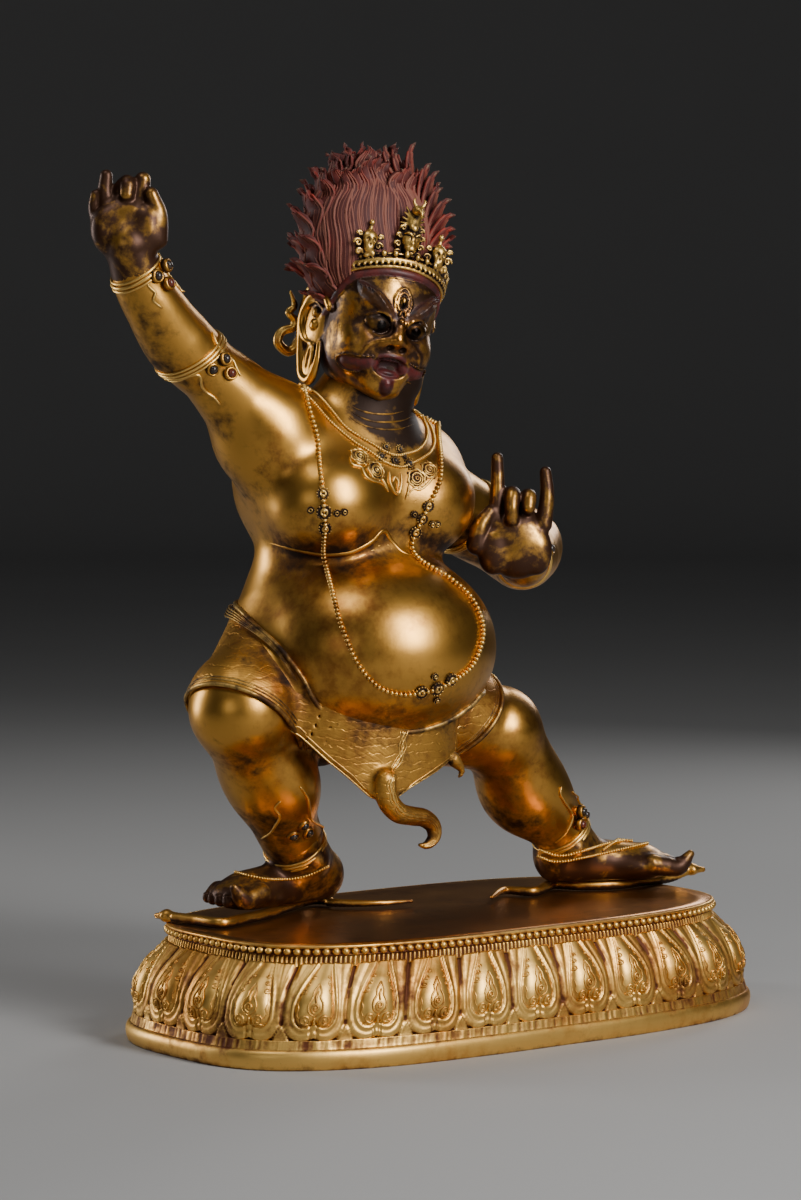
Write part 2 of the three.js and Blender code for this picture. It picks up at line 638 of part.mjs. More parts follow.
/** The raised setting under each stone, rooted in the skin. */
function settings() {
  const setting = ([place, facing]) => {
    const out = v(facing).normalize();
    const height = SETTING_RISE + SETTING_ROOT;
    const drum = new THREE.CylinderGeometry(SETTING_RADIUS - 1, SETTING_RADIUS, height, 6);
    drum.translate(0, height / 2 - SETTING_ROOT, 0);
    drum.applyQuaternion(new THREE.Quaternion().setFromUnitVectors(new THREE.Vector3(0, 1, 0), out));
    return solid(drum.translate(...place));
  };
  return join(Object.values(STONES).map(setting));
}

/** A domed stone in its setting. */
function stone([place, facing]) {
  const out = v(facing).normalize().multiplyScalar(SETTING_RISE + STONE_RADIUS * 0.85);
  return ball(v(place).add(out).toArray(), [STONE_RADIUS, STONE_RADIUS, STONE_RADIUS], { sides: 3, rows: 2 });
}

/** The casting but for its stone settings: body, head, hands, feet, cloth and jewellery in one. */
function figure() {
  const rightFoot = foot([-84, 58], [-160, 48], JOINTS.rightAnkle,
    { heading: 188, inner: -1, reach: [22, 27, 26, 24, 20] });
  const leftFoot = foot([134, 22], [197, -3], JOINTS.leftAnkle,
    { heading: -20, inner: 1, reach: [27, 32, 30, 27, 22] });
  return join([
    torso(), arms(), legs(), rightHand(), leftHand(), rightFoot, leftFoot, head(), loincloth(), chains(),
    bangles(),
  ]);
}

/** A pointed lock that leaves the dome outwards and turns up like a flame. */
function lock(angle, lift, length) {
  const out = new THREE.Vector3(
    Math.cos(radians(lift)) * Math.cos(radians(angle)), Math.cos(radians(lift)) * Math.sin(radians(angle)),
    Math.sin(radians(lift)),
  );
  const base = out.clone().multiply(v(HAIR_RADII)).multiplyScalar(0.9).add(v(HAIR_CENTRE));
  const outward = out.clone().divide(v(HAIR_RADII)).normalize();
  const up = new THREE.Vector3(0, 0, 1);
  const flow = outward.clone().multiplyScalar(0.75).addScaledVector(up, 0.66).normalize();
  const points = [
    base.clone().addScaledVector(flow, -length * 0.35),
    base.clone().addScaledVector(flow, length * 0.35),
    base.clone().addScaledVector(flow, length * 0.75).addScaledVector(outward, length * 0.1),
    base.clone().addScaledVector(flow, length).addScaledVector(up, length * 0.12),
  ];
  return roll(points.map((point) => point.toArray()), pointed(11), { sides: 3, steps: 2, flat: 0.8 });
}

/** The red hair standing up like fire behind the crown. */
function flameHair() {
  const parts = [ball(HAIR_CENTRE, HAIR_RADII, { sides: 12, rows: 8 })];
  for (const { lift, locks, length, from, to } of HAIR_TIERS) {
    for (let i = 0; i < locks; i += 1) {
      const angle = from + ((to - from) * i) / Math.max(1, locks - 1);
      parts.push(lock(angle, lift, length * (1 + 0.12 * Math.cos(i * 2.4))));
    }
  }
  return join(parts);
}

/** A ribbon that falls behind an ear and curls up again. */
function earRibbon(side) {
  const path = [[46, 19, 27], [45, 31, 21], [42, 37, 5], [41, 38, -8], [41, 38, -20], [47, 38, -28],
    [57, 38, -23], [56, 38, -14], [47, 37, -10], [47, 37, -4], [52, 37, 1], [49, 37, 6], [54, 37, 15]];
  return roll(path.map(([x, y, z]) => [side * x, y, z]), (t) => 4.2 - 1.8 * t, { sides: 4, steps: 18 });
}

/** The crown: a band over the forehead, upright ornaments, and a rosette with its ribbon at each ear. */
function crown() {
  const half = [[44, 10, 26], [37, -12, 42], [22, -29, 52]];
  const band = [...half, [0, -36, 55], ...half.toReversed().map(mirrored)];
  const parts = [
    roll(band, even(4.4), { sides: 4, steps: 8 }),
    ball([0, -37, 73], [11, 8, 15]),
    limb([0, -36, 86], [2, -36, 99], 7, 4, { sides: 5 }),
    limb([2, -36, 99], [11, -39, 93], 4, 2, { sides: 4 }),
  ];
  for (const side of [-1, 1]) {
    parts.push(ball([side * 27, -24, 65], [8.5, 7, 11], { sides: 6 }));
    parts.push(limb([side * 27, -24, 74], [side * 27, -23, 80], 2.6, 2.2, { sides: 4 }));
    parts.push(ball([side * 41, -3, 45], [6, 8, 10], { sides: 5, rows: 4 }));
    parts.push(ball([side * 45, 13, 27], [5, 9, 9], { sides: 5, rows: 4 }));
    parts.push(earRibbon(side));
  }
  return ontoNeck(join(parts));
}

const onPlate = ([x, y]) => [x, y, PLATE_TOP + SNAKE_RADIUS + SET_GAP];

/** The snake trodden flat under the right foot: its head out to the side, doubled back, its tail inwards. */
function rightSnake() {
  const body = [[-219, 83], [-210, 48], [-202, 18], [-176, 26], [-149, 36], [-112, 58], [-76, 77], [-66, 66],
    [-70, 56], [-45, 33], [-15, 24]];
  return roll(body.map(onPlate), (t) => SNAKE_RADIUS * (1 - 0.6 * t ** 3), { sides: 5, steps: 22 });
}

/** The snake under the left foot: its tail inwards, its head lifted before the toes. */
function leftSnake() {
  const onFloor = [[49, 4], [82, 29], [98, 10], [135, 33], [150, 16], [176, 2], [205, 4], [236, 6]];
  const lifted = [[252, 4, 5], [268, 0, 14]].map(([x, y, rise]) => [x, y, onPlate([x, y])[2] + rise]);
  const thickness = (t) => SNAKE_RADIUS * (0.4 + 0.6 * Math.min(1, 3 * t));
  return roll([...onFloor.map(onPlate), ...lifted], thickness, { sides: 5, steps: 22 });
}

/** A named mesh from a solid. */
function mesh(name, piece, look) {
  const { points, faces } = skinOf(filled(piece));
  const geometry = new THREE.BufferGeometry().setFromPoints(points);
  geometry.setIndex(faces.flat());
  const made = new THREE.Mesh(geometry, new THREE.MeshStandardMaterial({ ...look, flatShading: true }));
  made.name = name;
  return made;
}

// The crown is set into the hair and the head, and the feet press on the snakes, each with a fine gap
const snakes = [rightSnake(), leftSnake()].map((snake) => lighten(snake, SNAKE_TRIANGLES));
const stones = Object.entries(STONES).map(([name, place]) => [name, stone(place)]);
const crownPiece = lighten(filled(crown()), CROWN_TRIANGLES);
const inFigure = [crownPiece, ...snakes, ...stones.map(([, piece]) => piece)];
const casting = lighten(filled(figure()), FIGURE_TRIANGLES).add(settings());
const standing = filled(clearOf(casting, inFigure));
const hair = clearOf(lighten(filled(flameHair()), HAIR_TRIANGLES), [crownPiece, standing]);

const statue = new THREE.Group();
statue.add(mesh('plinth', plinth(), GILT));
statue.add(mesh('figure', standing, GILT));
statue.add(mesh('flame_hair', hair, RED_PIGMENT));
statue.add(mesh('crown', crownPiece, GILT));
statue.add(mesh('snake_under_right_foot', snakes[0], DARK_GILT));
statue.add(mesh('snake_under_left_foot', snakes[1], DARK_GILT));
for (const [name, piece] of stones) statue.add(mesh(name, piece, STONE));

export default statue;
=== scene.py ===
"""Dresses the gilt figure on its lotus plinth: a wrathful protector striding on two snakes.

Sizes are in millimetres until a mesh is made. The figure faces -Y, its right side is on -X and +Z is up.
The body, head, hands, feet and cloth are sculpted as blended distance fields and skinned; ornament lies on
the skin along routes that the photograph's own pixels give.
"""

import logging
from dataclasses import dataclass, field
from enum import Enum
from functools import partial
from typing import Callable, Iterable, Sequence

import bpy
import numpy as np
from mathutils import Matrix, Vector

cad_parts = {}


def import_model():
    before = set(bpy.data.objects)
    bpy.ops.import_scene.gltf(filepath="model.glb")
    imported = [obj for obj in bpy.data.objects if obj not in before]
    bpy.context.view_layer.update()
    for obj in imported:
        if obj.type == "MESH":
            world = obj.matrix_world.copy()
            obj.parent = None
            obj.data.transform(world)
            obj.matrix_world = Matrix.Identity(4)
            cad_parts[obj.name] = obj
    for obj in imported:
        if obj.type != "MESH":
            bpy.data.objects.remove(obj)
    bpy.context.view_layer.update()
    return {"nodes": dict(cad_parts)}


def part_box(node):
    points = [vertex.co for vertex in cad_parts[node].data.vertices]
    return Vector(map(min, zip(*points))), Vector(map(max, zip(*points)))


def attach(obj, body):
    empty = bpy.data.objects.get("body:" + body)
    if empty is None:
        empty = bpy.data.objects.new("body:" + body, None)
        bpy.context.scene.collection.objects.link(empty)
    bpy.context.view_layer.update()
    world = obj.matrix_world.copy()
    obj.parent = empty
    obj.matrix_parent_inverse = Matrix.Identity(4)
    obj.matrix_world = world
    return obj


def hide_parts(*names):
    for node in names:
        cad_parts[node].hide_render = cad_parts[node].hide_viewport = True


LOG = logging.getLogger("statue")

MM = 0.001
FAR = 1e3  # a distance, in millimetres, beyond every form
SLACK = 6  # how far outside its box, besides its blend, a form still counts
ROOM = 420  # how far in front of the camera's aim a ray starts
RAY_STEPS = 90

Point = Sequence[float]
Array = np.ndarray


def unit(vectors: Array) -> Array:
    """Vectors brought to length one."""
    vectors = np.asarray(vectors, float)
    return vectors / np.maximum(np.linalg.norm(vectors, axis=-1, keepdims=True), 1e-9)


def ramp(low: float, high: float, values: Array) -> Array:
    """A smooth step from 0 at low to 1 at high."""
    share = np.clip((np.asarray(values, float) - low) / (high - low), 0, 1)
    return share * share * (3 - 2 * share)


def turn_matrix(turn: Point) -> Array:
    """A rotation by degrees about X, Y and Z in that order."""
    x, y, z = np.radians(turn)
    about_x = np.array([[1, 0, 0], [0, np.cos(x), -np.sin(x)], [0, np.sin(x), np.cos(x)]])
    about_y = np.array([[np.cos(y), 0, np.sin(y)], [0, 1, 0], [-np.sin(y), 0, np.cos(y)]])
    about_z = np.array([[np.cos(z), -np.sin(z), 0], [np.sin(z), np.cos(z), 0], [0, 0, 1]])
    return about_z @ about_y @ about_x


def smooth_path(points: Sequence[Point], spacing: float, closed: bool = False) -> Array:
    """A smooth curve through points, sampled evenly.

    Args:
        points: The points the curve passes through.
        spacing: The rough distance between samples.
        closed: Whether the curve runs back to its first point.

    Returns:
        The samples along the curve, the first not repeated on a closed one.
    """
    points = np.asarray(points, float)
    if closed:
        row = np.concatenate([points[-1:], points, points[:2]])
    else:
        row = np.concatenate([2 * points[:1] - points[1:2], points, 2 * points[-1:] - points[-2:-1]])
    fine = []
    share = np.linspace(0, 1, 24, endpoint=False)[:, None]
    for a, b, c, d in zip(row[:-3], row[1:-2], row[2:-1], row[3:]):
        cubic = (2 * b) + (c - a) * share + (2 * a - 5 * b + 4 * c - d) * share ** 2
        fine.append(0.5 * (cubic + (3 * b - a - 3 * c + d) * share ** 3))
    fine = np.concatenate(fine + [row[-2:-1]])
    lengths = np.concatenate([[0], np.cumsum(np.linalg.norm(np.diff(fine, axis=0), axis=1))])
    count = max(3, int(round(lengths[-1] / spacing)) + 1)
    marks = np.linspace(0, lengths[-1], count)
    even = np.stack([np.interp(marks, lengths, fine[:, i]) for i in range(fine.shape[1])], 1)
    return even[:-1] if closed else even


def through(values: Sequence[float], count: int) -> Array:
    """A list of values spread evenly over a number of places."""
    return np.interp(np.linspace(0, 1, count), np.linspace(0, 1, len(values)), values)


def view_axes(azimuth: float, elevation: float) -> tuple[Array, Array, Array]:
    """The directions to the right, up and back of one who looks at the statue from a side."""
    turn, lift = np.radians([azimuth, elevation])
    back = np.array([np.sin(turn) * np.cos(lift), -np.cos(turn) * np.cos(lift), np.sin(lift)])
    right = np.array([np.cos(turn), np.sin(turn), 0.0])
    return right, np.cross(back, right), back


@dataclass(frozen=True)
class Lens:
    """The photograph's own camera, found from the plinth's oval and the figure's height."""

    azimuth: float = -37.088
    elevation: float = 3.635
    focal: float = 3901.35
    distance: float = 3031.3
    target: tuple[float, float, float] = (-44.92, 0.0, 334.46)
    width: int = 801
    height: int = 1200

    def axes(self) -> tuple[Array, Array, Array]:
        """The directions to the right, up and back towards the viewer."""
        return view_axes(self.azimuth, self.elevation)

    def place(self) -> Array:
        """Where the camera stands."""
        return np.array(self.target) + self.axes()[2] * self.distance

    def rays(self, pixels: Sequence[Point]) -> Array:
        """The directions seen through pixels of the photograph."""
        right, up, back = self.axes()
        across, down = np.asarray(pixels, float).T
        across = across[:, None] - self.width / 2
        rise = self.height / 2 - down[:, None]
        return unit(-back * self.focal + right * across + up * rise)

    def upright(self, pixels: Sequence[Point], depth: float) -> Array:
        """Points behind pixels in the upright plane at a depth, to a tenth of a millimetre."""
        eye, rays = self.place(), self.rays(pixels)
        return np.round(eye + rays * ((depth - eye[1]) / rays[:, 1])[:, None], 1)

    def add_camera(self) -> None:
        """Make the camera and set it on the scene."""
        right, up, back = self.axes()
        data = bpy.data.cameras.new("photograph_view")
        data.sensor_width = 36.0
        data.lens = self.focal * data.sensor_width / self.height
        camera = bpy.data.objects.new("photograph_view", data)
        columns = [[*row, place] for row, place in zip(np.stack([right, up, back], 1), self.place() * MM)]
        camera.matrix_world = Matrix([*columns, [0, 0, 0, 1]])
        bpy.context.scene.collection.objects.link(camera)
        bpy.context.scene.camera = camera


LENS = Lens()


def smooth_min(one: Array, other: Array, blend: float) -> Array:
    """The lesser of two distances, rounded where they are nearly equal."""
    if blend <= 0:
        return np.minimum(one, other)
    near = np.clip(blend - np.abs(one - other), 0, None) / blend
    return np.minimum(one, other) - near * near * blend * 0.25


class Role(Enum):
    """What a form does to the clay."""

    ADD = "add"
    CUT = "cut"
    KEEP = "keep"


@dataclass
class Form:
    """One form in the clay, with how softly it joins and the finish it is painted in."""

    blend: float = field(default=8.0, kw_only=True)
    role: Role = field(default=Role.ADD, kw_only=True)
    paint: str = field(default="", kw_only=True)

    def box(self) -> tuple[Array, Array]:
        """The lowest and highest corners that the form reaches."""
        raise NotImplementedError

    def distance(self, points: Array) -> Array:
        """How far points lie outside the form's skin."""
        raise NotImplementedError


@dataclass
class Ball(Form):
    """An ellipsoid, turned by degrees about X, Y and Z."""

    centre: Point = (0, 0, 0)
    radii: Point = (1, 1, 1)
    turn: Point = (0, 0, 0)

    def __post_init__(self) -> None:
        """Work out the turn once."""
        self.matrix = turn_matrix(self.turn)

    def box(self) -> tuple[Array, Array]:
        """The lowest and highest corners."""
        reach = np.sqrt(((self.matrix * np.asarray(self.radii, float)) ** 2).sum(1))
        return np.asarray(self.centre) - reach, np.asarray(self.centre) + reach

    def distance(self, points: Array) -> Array:
        """The distance, close to exact near the skin."""
        local = (points - np.asarray(self.centre)) @ self.matrix
        radii = np.asarray(self.radii, float)
        share = np.linalg.norm(local / radii, axis=-1)
        slope = np.linalg.norm(local / radii ** 2, axis=-1)
        return np.where(slope > 1e-9, share * (share - 1) / np.maximum(slope, 1e-9), -radii.min())


def cone_distance(points: Array, start: Array, end: Array, start_radius: float, end_radius: float) -> Array:
    """The distance from a rounded cone between two centres."""
    axis = end - start
    square = max(axis @ axis, 1e-9)
    away = points - start
    share = np.clip((away @ axis) / square, 0, 1)
    lean = (start_radius - end_radius) / np.sqrt(square)
    side = np.linalg.norm(away - share[..., None] * axis, axis=-1)
    share = np.clip(share + lean * side / np.sqrt(square * max(1 - lean * lean, 0.05)), 0, 1)
    side = np.linalg.norm(away - share[..., None] * axis, axis=-1)
    return side - (start_radius + (end_radius - start_radius) * share)


@dataclass
class Limb(Form):
    """A rounded cone from one centre to another."""

    start: Point = (0, 0, 0)
    end: Point = (0, 0, 1)
    start_radius: float = 1.0
    end_radius: float = 1.0

    def box(self) -> tuple[Array, Array]:
        """The lowest and highest corners."""
        start, end = np.asarray(self.start, float), np.asarray(self.end, float)
        low = np.minimum(start - self.start_radius, end - self.end_radius)
        return low, np.maximum(start + self.start_radius, end + self.end_radius)

    def distance(self, points: Array) -> Array:
        """The distance from the cone."""
        start, end = np.asarray(self.start, float), np.asarray(self.end, float)
        return cone_distance(points, start, end, self.start_radius, self.end_radius)


@dataclass
class Roll(Form):
    """A roll along a smooth curve, its radius given from end to end."""

    points: Sequence[Point] = ()
    radii: Sequence[float] = (1.0,)
    spacing: float = 4.0
    closed: bool = False

    def __post_init__(self) -> None:
        """Sample the curve once."""
        self.line = smooth_path(self.points, self.spacing, self.closed)
        if self.closed:
            self.line = np.concatenate([self.line, self.line[:1]])
        self.sizes = through(self.radii, len(self.line))

    def box(self) -> tuple[Array, Array]:
        """The lowest and highest corners."""
        sizes = self.sizes[:, None]
        return (self.line - sizes).min(0), (self.line + sizes).max(0)

    def distance(self, points: Array) -> Array:
        """The distance from the nearest stretch of the roll."""
        best = np.full(points.shape[:-1], FAR)
        for i in range(len(self.line) - 1):
            piece = cone_distance(points, self.line[i], self.line[i + 1], self.sizes[i], self.sizes[i + 1])
            best = np.minimum(best, piece)
        return best


def outline_distance(points: Array, outline: Array) -> Array:
    """The signed distance of flat points from a closed outline, negative inside."""
    best = np.full(points.shape[:-1], 1e9)
    inside = np.zeros(points.shape[:-1], bool)
    for a, b in zip(outline, np.roll(outline, -1, axis=0)):
        edge = b - a
        away = points - a
        share = np.clip((away @ edge) / max(edge @ edge, 1e-9), 0, 1)
        best = np.minimum(best, np.linalg.norm(away - share[..., None] * edge, axis=-1))
        crosses = (a[1] > points[..., 1]) != (b[1] > points[..., 1])
        slope = edge[0] / edge[1] if abs(edge[1]) > 1e-9 else 0.0
        inside ^= crosses & (points[..., 0] < a[0] + slope * (points[..., 1] - a[1]))
    return np.where(inside, -best, best)


@dataclass
class Sheet(Form):
    """A sheet with an outline in X and Z, its middle at a depth in Y that may vary over it."""

    outline: Sequence[Point] = ()
    depth: Callable[[Array, Array], Array] = lambda x, z: np.zeros_like(x)
    thickness: float = 3.0
    reach: tuple[float, float] = (-100.0, 100.0)

    def box(self) -> tuple[Array, Array]:
        """The lowest and highest corners."""
        flat = np.asarray(self.outline, float)
        low, high = flat.min(0), flat.max(0)
        return np.array([low[0], self.reach[0], low[1]]), np.array([high[0], self.reach[1], high[1]])

    def distance(self, points: Array) -> Array:
        """The distance from the sheet, its rim rounded."""
        flat = np.stack([points[..., 0], points[..., 2]], -1)
        rim = outline_distance(flat, np.asarray(self.outline, float)) + self.thickness / 2
        off = np.abs(points[..., 1] - self.depth(points[..., 0], points[..., 2]))
        return np.hypot(np.maximum(rim, 0), off) - self.thickness / 2


@dataclass
class Side(Form):
    """All that lies on one side of a plane, behind its outward direction."""

    point: Point = (0, 0, 0)
    outward: Point = (0, 0, 1)

    def box(self) -> tuple[Array, Array]:
        """A side has no end."""
        return np.full(3, -1e4), np.full(3, 1e4)

    def distance(self, points: Array) -> Array:
        """The distance in front of the plane."""
        return (points - np.asarray(self.point, float)) @ unit(np.asarray(self.outward, float))


@dataclass
class Skin:
    """A closed mesh of four-sided faces, with values painted on its points."""

    points: Array
    faces: Array
    normals: Array
    paints: dict[str, Array] = field(default_factory=dict)


def face_normals(points: Array, faces: Array) -> Array:
    """The point normals of a skin, the larger faces counting for more."""
    corners = points[faces]
    across = np.cross(corners[:, 2] - corners[:, 0], corners[:, 3] - corners[:, 1])
    total = np.zeros_like(points)
    for k in range(4):
        for axis in range(3):
            total[:, axis] += np.bincount(faces[:, k], across[:, axis], len(points))
    return unit(total)


class Clay:
    """Forms blended into one body of clay, in the order in which they are given."""

    def __init__(self, forms: Iterable[Form]) -> None:
        """Keep the forms."""
        self.forms = list(forms)

    @staticmethod
    def merge(held: Array, form: Form, distance: Array) -> Array:
        """The clay's distances once a form has been put to it."""
        if form.role is Role.ADD:
            return smooth_min(held, distance, form.blend)
        other = distance if form.role is Role.CUT else -distance
        return -smooth_min(-held, other, form.blend)

    def at(self, points: Array, exact: bool = False) -> Array:
        """The distance of points from the clay's skin.

        Args:
            points: The points asked about.
            exact: Whether forms far from a point count too, as a ray needs.

        Returns:
            The distances, negative inside the clay.
        """
        held = np.full(points.shape[:-1], FAR)
        for form in self.forms:
            low, high = form.box()
            margin = form.blend + SLACK
            near = np.ones(len(points), bool)
            if not exact:
                near = ((points > low - margin) & (points < high + margin)).all(-1)
            if near.any():
                held[near] = self.merge(held[near], form, form.distance(points[near]))
        return held

    def near(self, points: Array, paint: str) -> Array:
        """How far points lie outside the forms painted in one finish, their soft joins left out."""
        best = np.full(len(points), FAR)
        for form in self.forms:
            if form.paint != paint:
                continue
            low, high = form.box()
            around = ((points > low - 3) & (points < high + 3)).all(-1)
            away = form.distance(points[around]) - form.blend * 0.22
            best[around] = np.minimum(best[around], away)
        return best

    def cast(self, pixels: Sequence[Point]) -> Array:
        """Where the rays through the photograph's pixels meet the skin, or come nearest to it."""
        rays = LENS.rays(pixels)
        points = LENS.place() + rays * (LENS.distance - ROOM)
        nearest, least = points.copy(), np.full(len(points), FAR)
        for _ in range(RAY_STEPS):
            away = self.at(points, exact=True)
            closer = np.abs(away) < least
            nearest[closer], least[closer] = points[closer], np.abs(away[closer])
            points = points + rays * np.clip(away, -6, 60)[:, None] * 0.7
        missed = least > 1.5
        if missed.any():
            LOG.info("%d of %d rays miss the skin by up to %.0f mm", missed.sum(), len(missed), least.max())
            nearest[missed] = self.snap(nearest[missed])
        return nearest

    def slope(self, points: Array) -> Array:
        """The outward direction of the clay at points."""
        steps = np.eye(3) * 0.6
        return unit(np.stack([self.at(points + s, True) - self.at(points - s, True) for s in steps], -1))

    def snap(self, points: Array) -> Array:
        """Points moved straight onto the skin."""
        points = np.asarray(points, float)
        for _ in range(8):
            points = points - self.slope(points) * (self.at(points, exact=True) * 0.9)[:, None]
        return points

    def skin(self, step: float, relax: int = 4) -> Skin:
        """The clay's skin as even four-sided faces.

        Args:
            step: The size of a face.
            relax: How often the points are evened out and laid on the skin again.

        Returns:
            The skin, with its normals.
        """
        boxes = [form.box() for form in self.forms if form.role is Role.ADD]
        low = np.min([box[0] for box in boxes], axis=0) - 3 * step
        high = np.max([box[1] for box in boxes], axis=0) + 3 * step
        counts = np.ceil((high - low) / step).astype(int) + 1
        axes = [low[i] + step * np.arange(counts[i]) for i in range(3)]
        held = np.full(counts, FAR, np.float32)
        for form in self.forms:
            reach = form.box()
            margin = form.blend + 3 * step
            first = np.maximum(np.floor((reach[0] - margin - low) / step).astype(int), 0)
            last = np.minimum(np.ceil((reach[1] + margin - low) / step).astype(int) + 1, counts)
            if (last <= first).any():
                continue
            window = tuple(slice(a, b) for a, b in zip(first, last))
            grid = np.stack(np.meshgrid(*[axes[i][window[i]] for i in range(3)], indexing="ij"), -1)
            held[window] = self.merge(held[window], form, form.distance(grid))
        points, faces = surface_net(held)
        points = low + points * step
        ends = np.concatenate([faces[:, [0, 1]], faces[:, [1, 2]], faces[:, [2, 3]], faces[:, [3, 0]]])
        share = np.bincount(ends[:, 0], minlength=len(points)).astype(float)
        for turn in range(relax):
            total = [np.bincount(ends[:, 0], points[ends[:, 1], i], len(points)) for i in range(3)]
            evened = np.stack(total, 1) / np.maximum(share, 1)[:, None]
            normals = face_normals(points, faces)
            drift = evened - points
            drift -= normals * (drift * normals).sum(1)[:, None]
            points = points + drift * 0.6
            for _ in range(2 if turn + 1 < relax else 4):
                points = points - normals * np.clip(self.at(points), -step, step)[:, None] * 0.85
        return Skin(points, faces, face_normals(points, faces))

    # Its value is painted into the gilt as shade and patina in recesses.
    def hollows(self, skin: Skin, reaches: Sequence[float] = (3.0, 8.0, 18.0)) -> Array:
        """How shut in each point is, from 0 on open ground to 1 in a crevice."""
        shut = np.zeros(len(skin.points))
        for reach in reaches:
            away = np.clip(self.at(skin.points + skin.normals * reach) / reach, -1, 1)
            shut += (1 - away) / len(reaches)
        return np.clip(shut, 0, 1)


def surface_net(held: Array) -> tuple[Array, Array]:
    """The zero level of a grid of distances, as points in grid steps and four-sided faces."""
    sizes = held.shape
    inside = held < 0
    corners = np.array([(i, j, k) for i in (0, 1) for j in (0, 1) for k in (0, 1)])

    def shifted(values: Array, corner: Array) -> Array:
        """The values at one corner of every cell."""
        return values[tuple(slice(c, n - 1 + c) for c, n in zip(corner, sizes))]

    count = sum(shifted(inside, corner).astype(np.int8) for corner in corners)
    mixed = (count > 0) & (count < 8)
    cells = np.argwhere(mixed)
    values = np.stack([held[tuple((cells + corner).T)] for corner in corners], 1)
    total = np.zeros((len(cells), 3))
    number = np.zeros(len(cells))
    for a in range(8):
        for b in range(a + 1, 8):
            if np.abs(corners[a] - corners[b]).sum() != 1:
                continue
            crosses = (values[:, a] < 0) != (values[:, b] < 0)
            gap = np.where(crosses, values[:, a] - values[:, b], 1)
            share = np.where(crosses, values[:, a] / gap, 0)[:, None]
            total += np.where(crosses[:, None], corners[a] + share * (corners[b] - corners[a]), 0)
            number += crosses
    points = cells + total / number[:, None]
    label = np.full(mixed.shape, -1)
    label[mixed] = np.arange(len(cells))
    faces = []
    for axis in range(3):
        one, two = (axis + 1) % 3, (axis + 2) % 3
        here = [slice(1, sizes[i] - 1) for i in range(3)]
        here[axis] = slice(0, sizes[axis] - 1)
        ahead = list(here)
        ahead[axis] = slice(1, sizes[axis])
        start, end = inside[tuple(here)], inside[tuple(ahead)]
        places = np.argwhere(start != end)
        if not len(places):
            continue
        base = places.copy()
        base[:, one] += 1
        base[:, two] += 1
        around = []
        for back_one, back_two in ((1, 1), (0, 1), (0, 0), (1, 0)):
            cell = base.copy()
            cell[:, one] -= back_one
            cell[:, two] -= back_two
            around.append(label[tuple(cell.T)])
        quads = np.stack(around, 1)
        flip = ~start[tuple(places.T)]
        quads[flip] = quads[flip][:, ::-1]
        faces.append(quads)
    return points, np.concatenate(faces)


@dataclass
class Shape:
    """Points and faces gathered from several parts, ready to become one mesh."""

    points: list[Array] = field(default_factory=list)
    quads: list[Array] = field(default_factory=list)
    triangles: list[Array] = field(default_factory=list)
    paints: list[dict[str, Array]] = field(default_factory=list)

    def add(self, points: Array, quads: Array, triangles: Array | None = None,
            paints: dict[str, Array] | None = None) -> None:
        """Add a part, its faces counted from its own first point.

        Args:
            points: The part's points.
            quads: Its four-sided faces.
            triangles: Its three-sided faces.
            paints: Values painted on its points.
        """
        start = sum(len(part) for part in self.points)
        self.points.append(np.asarray(points, float))
        self.quads.append(np.asarray(quads, int).reshape(-1, 4) + start)
        faces = np.zeros((0, 3), int) if triangles is None else np.asarray(triangles, int).reshape(-1, 3)
        self.triangles.append(faces + start)
        self.paints.append(paints or {})

    def mesh(self, name: str) -> bpy.types.Mesh:
        """The gathered parts as one smooth mesh in metres."""
        points = np.concatenate(self.points) * MM
        quads, triangles = np.concatenate(self.quads), np.concatenate(self.triangles)
        mesh = bpy.data.meshes.new(name)
        mesh.vertices.add(len(points))
        mesh.vertices.foreach_set("co", points.astype(np.float32).ravel())
        corners = np.concatenate([quads.ravel(), triangles.ravel()])
        sizes = np.concatenate([np.full(len(quads), 4), np.full(len(triangles), 3)])
        mesh.loops.add(len(corners))
        mesh.loops.foreach_set("vertex_index", corners.astype(np.int32))
        mesh.polygons.add(len(sizes))
        starts = np.concatenate([[0], np.cumsum(sizes)[:-1]])
        mesh.polygons.foreach_set("loop_start", starts.astype(np.int32))
        mesh.update(calc_edges=True)
        mesh.polygons.foreach_set("use_smooth", np.ones(len(sizes), bool))
        for paint in sorted({key for paints in self.paints for key in paints}):
            parts = [paints.get(paint, np.zeros(len(part))) for part, paints in zip(self.points, self.paints)]
            layer = mesh.attributes.new(paint, "FLOAT", "POINT")
            layer.data.foreach_set("value", np.concatenate(parts).astype(np.float32))
        mesh.validate()
        return mesh


def ring_faces(rows: int, columns: int, closed_rows: bool = False) -> Array:
    """The faces of rings laid one after another, facing away from their line."""
    row, column = np.meshgrid(np.arange(rows if closed_rows else rows - 1), np.arange(columns), indexing="ij")
    after, beside = (row + 1) % rows, (column + 1) % columns
    corners = [row * columns + column, row * columns + beside, after * columns + beside,
               after * columns + column]
    return np.stack(corners, -1).reshape(-1, 4)


def end_caps(rows: int, columns: int) -> Array:
    """The fans that close the first and the last ring, their two middle points placed after the rings."""
    side, middle = np.arange(columns), rows * columns
    beside, last = (side + 1) % columns, (rows - 1) * columns
    first_fan = np.stack([beside, side, np.full(columns, middle)], 1)
    last_fan = np.stack([last + side, last + beside, np.full(columns, middle + 1)], 1)
    return np.concatenate([first_fan, last_fan])


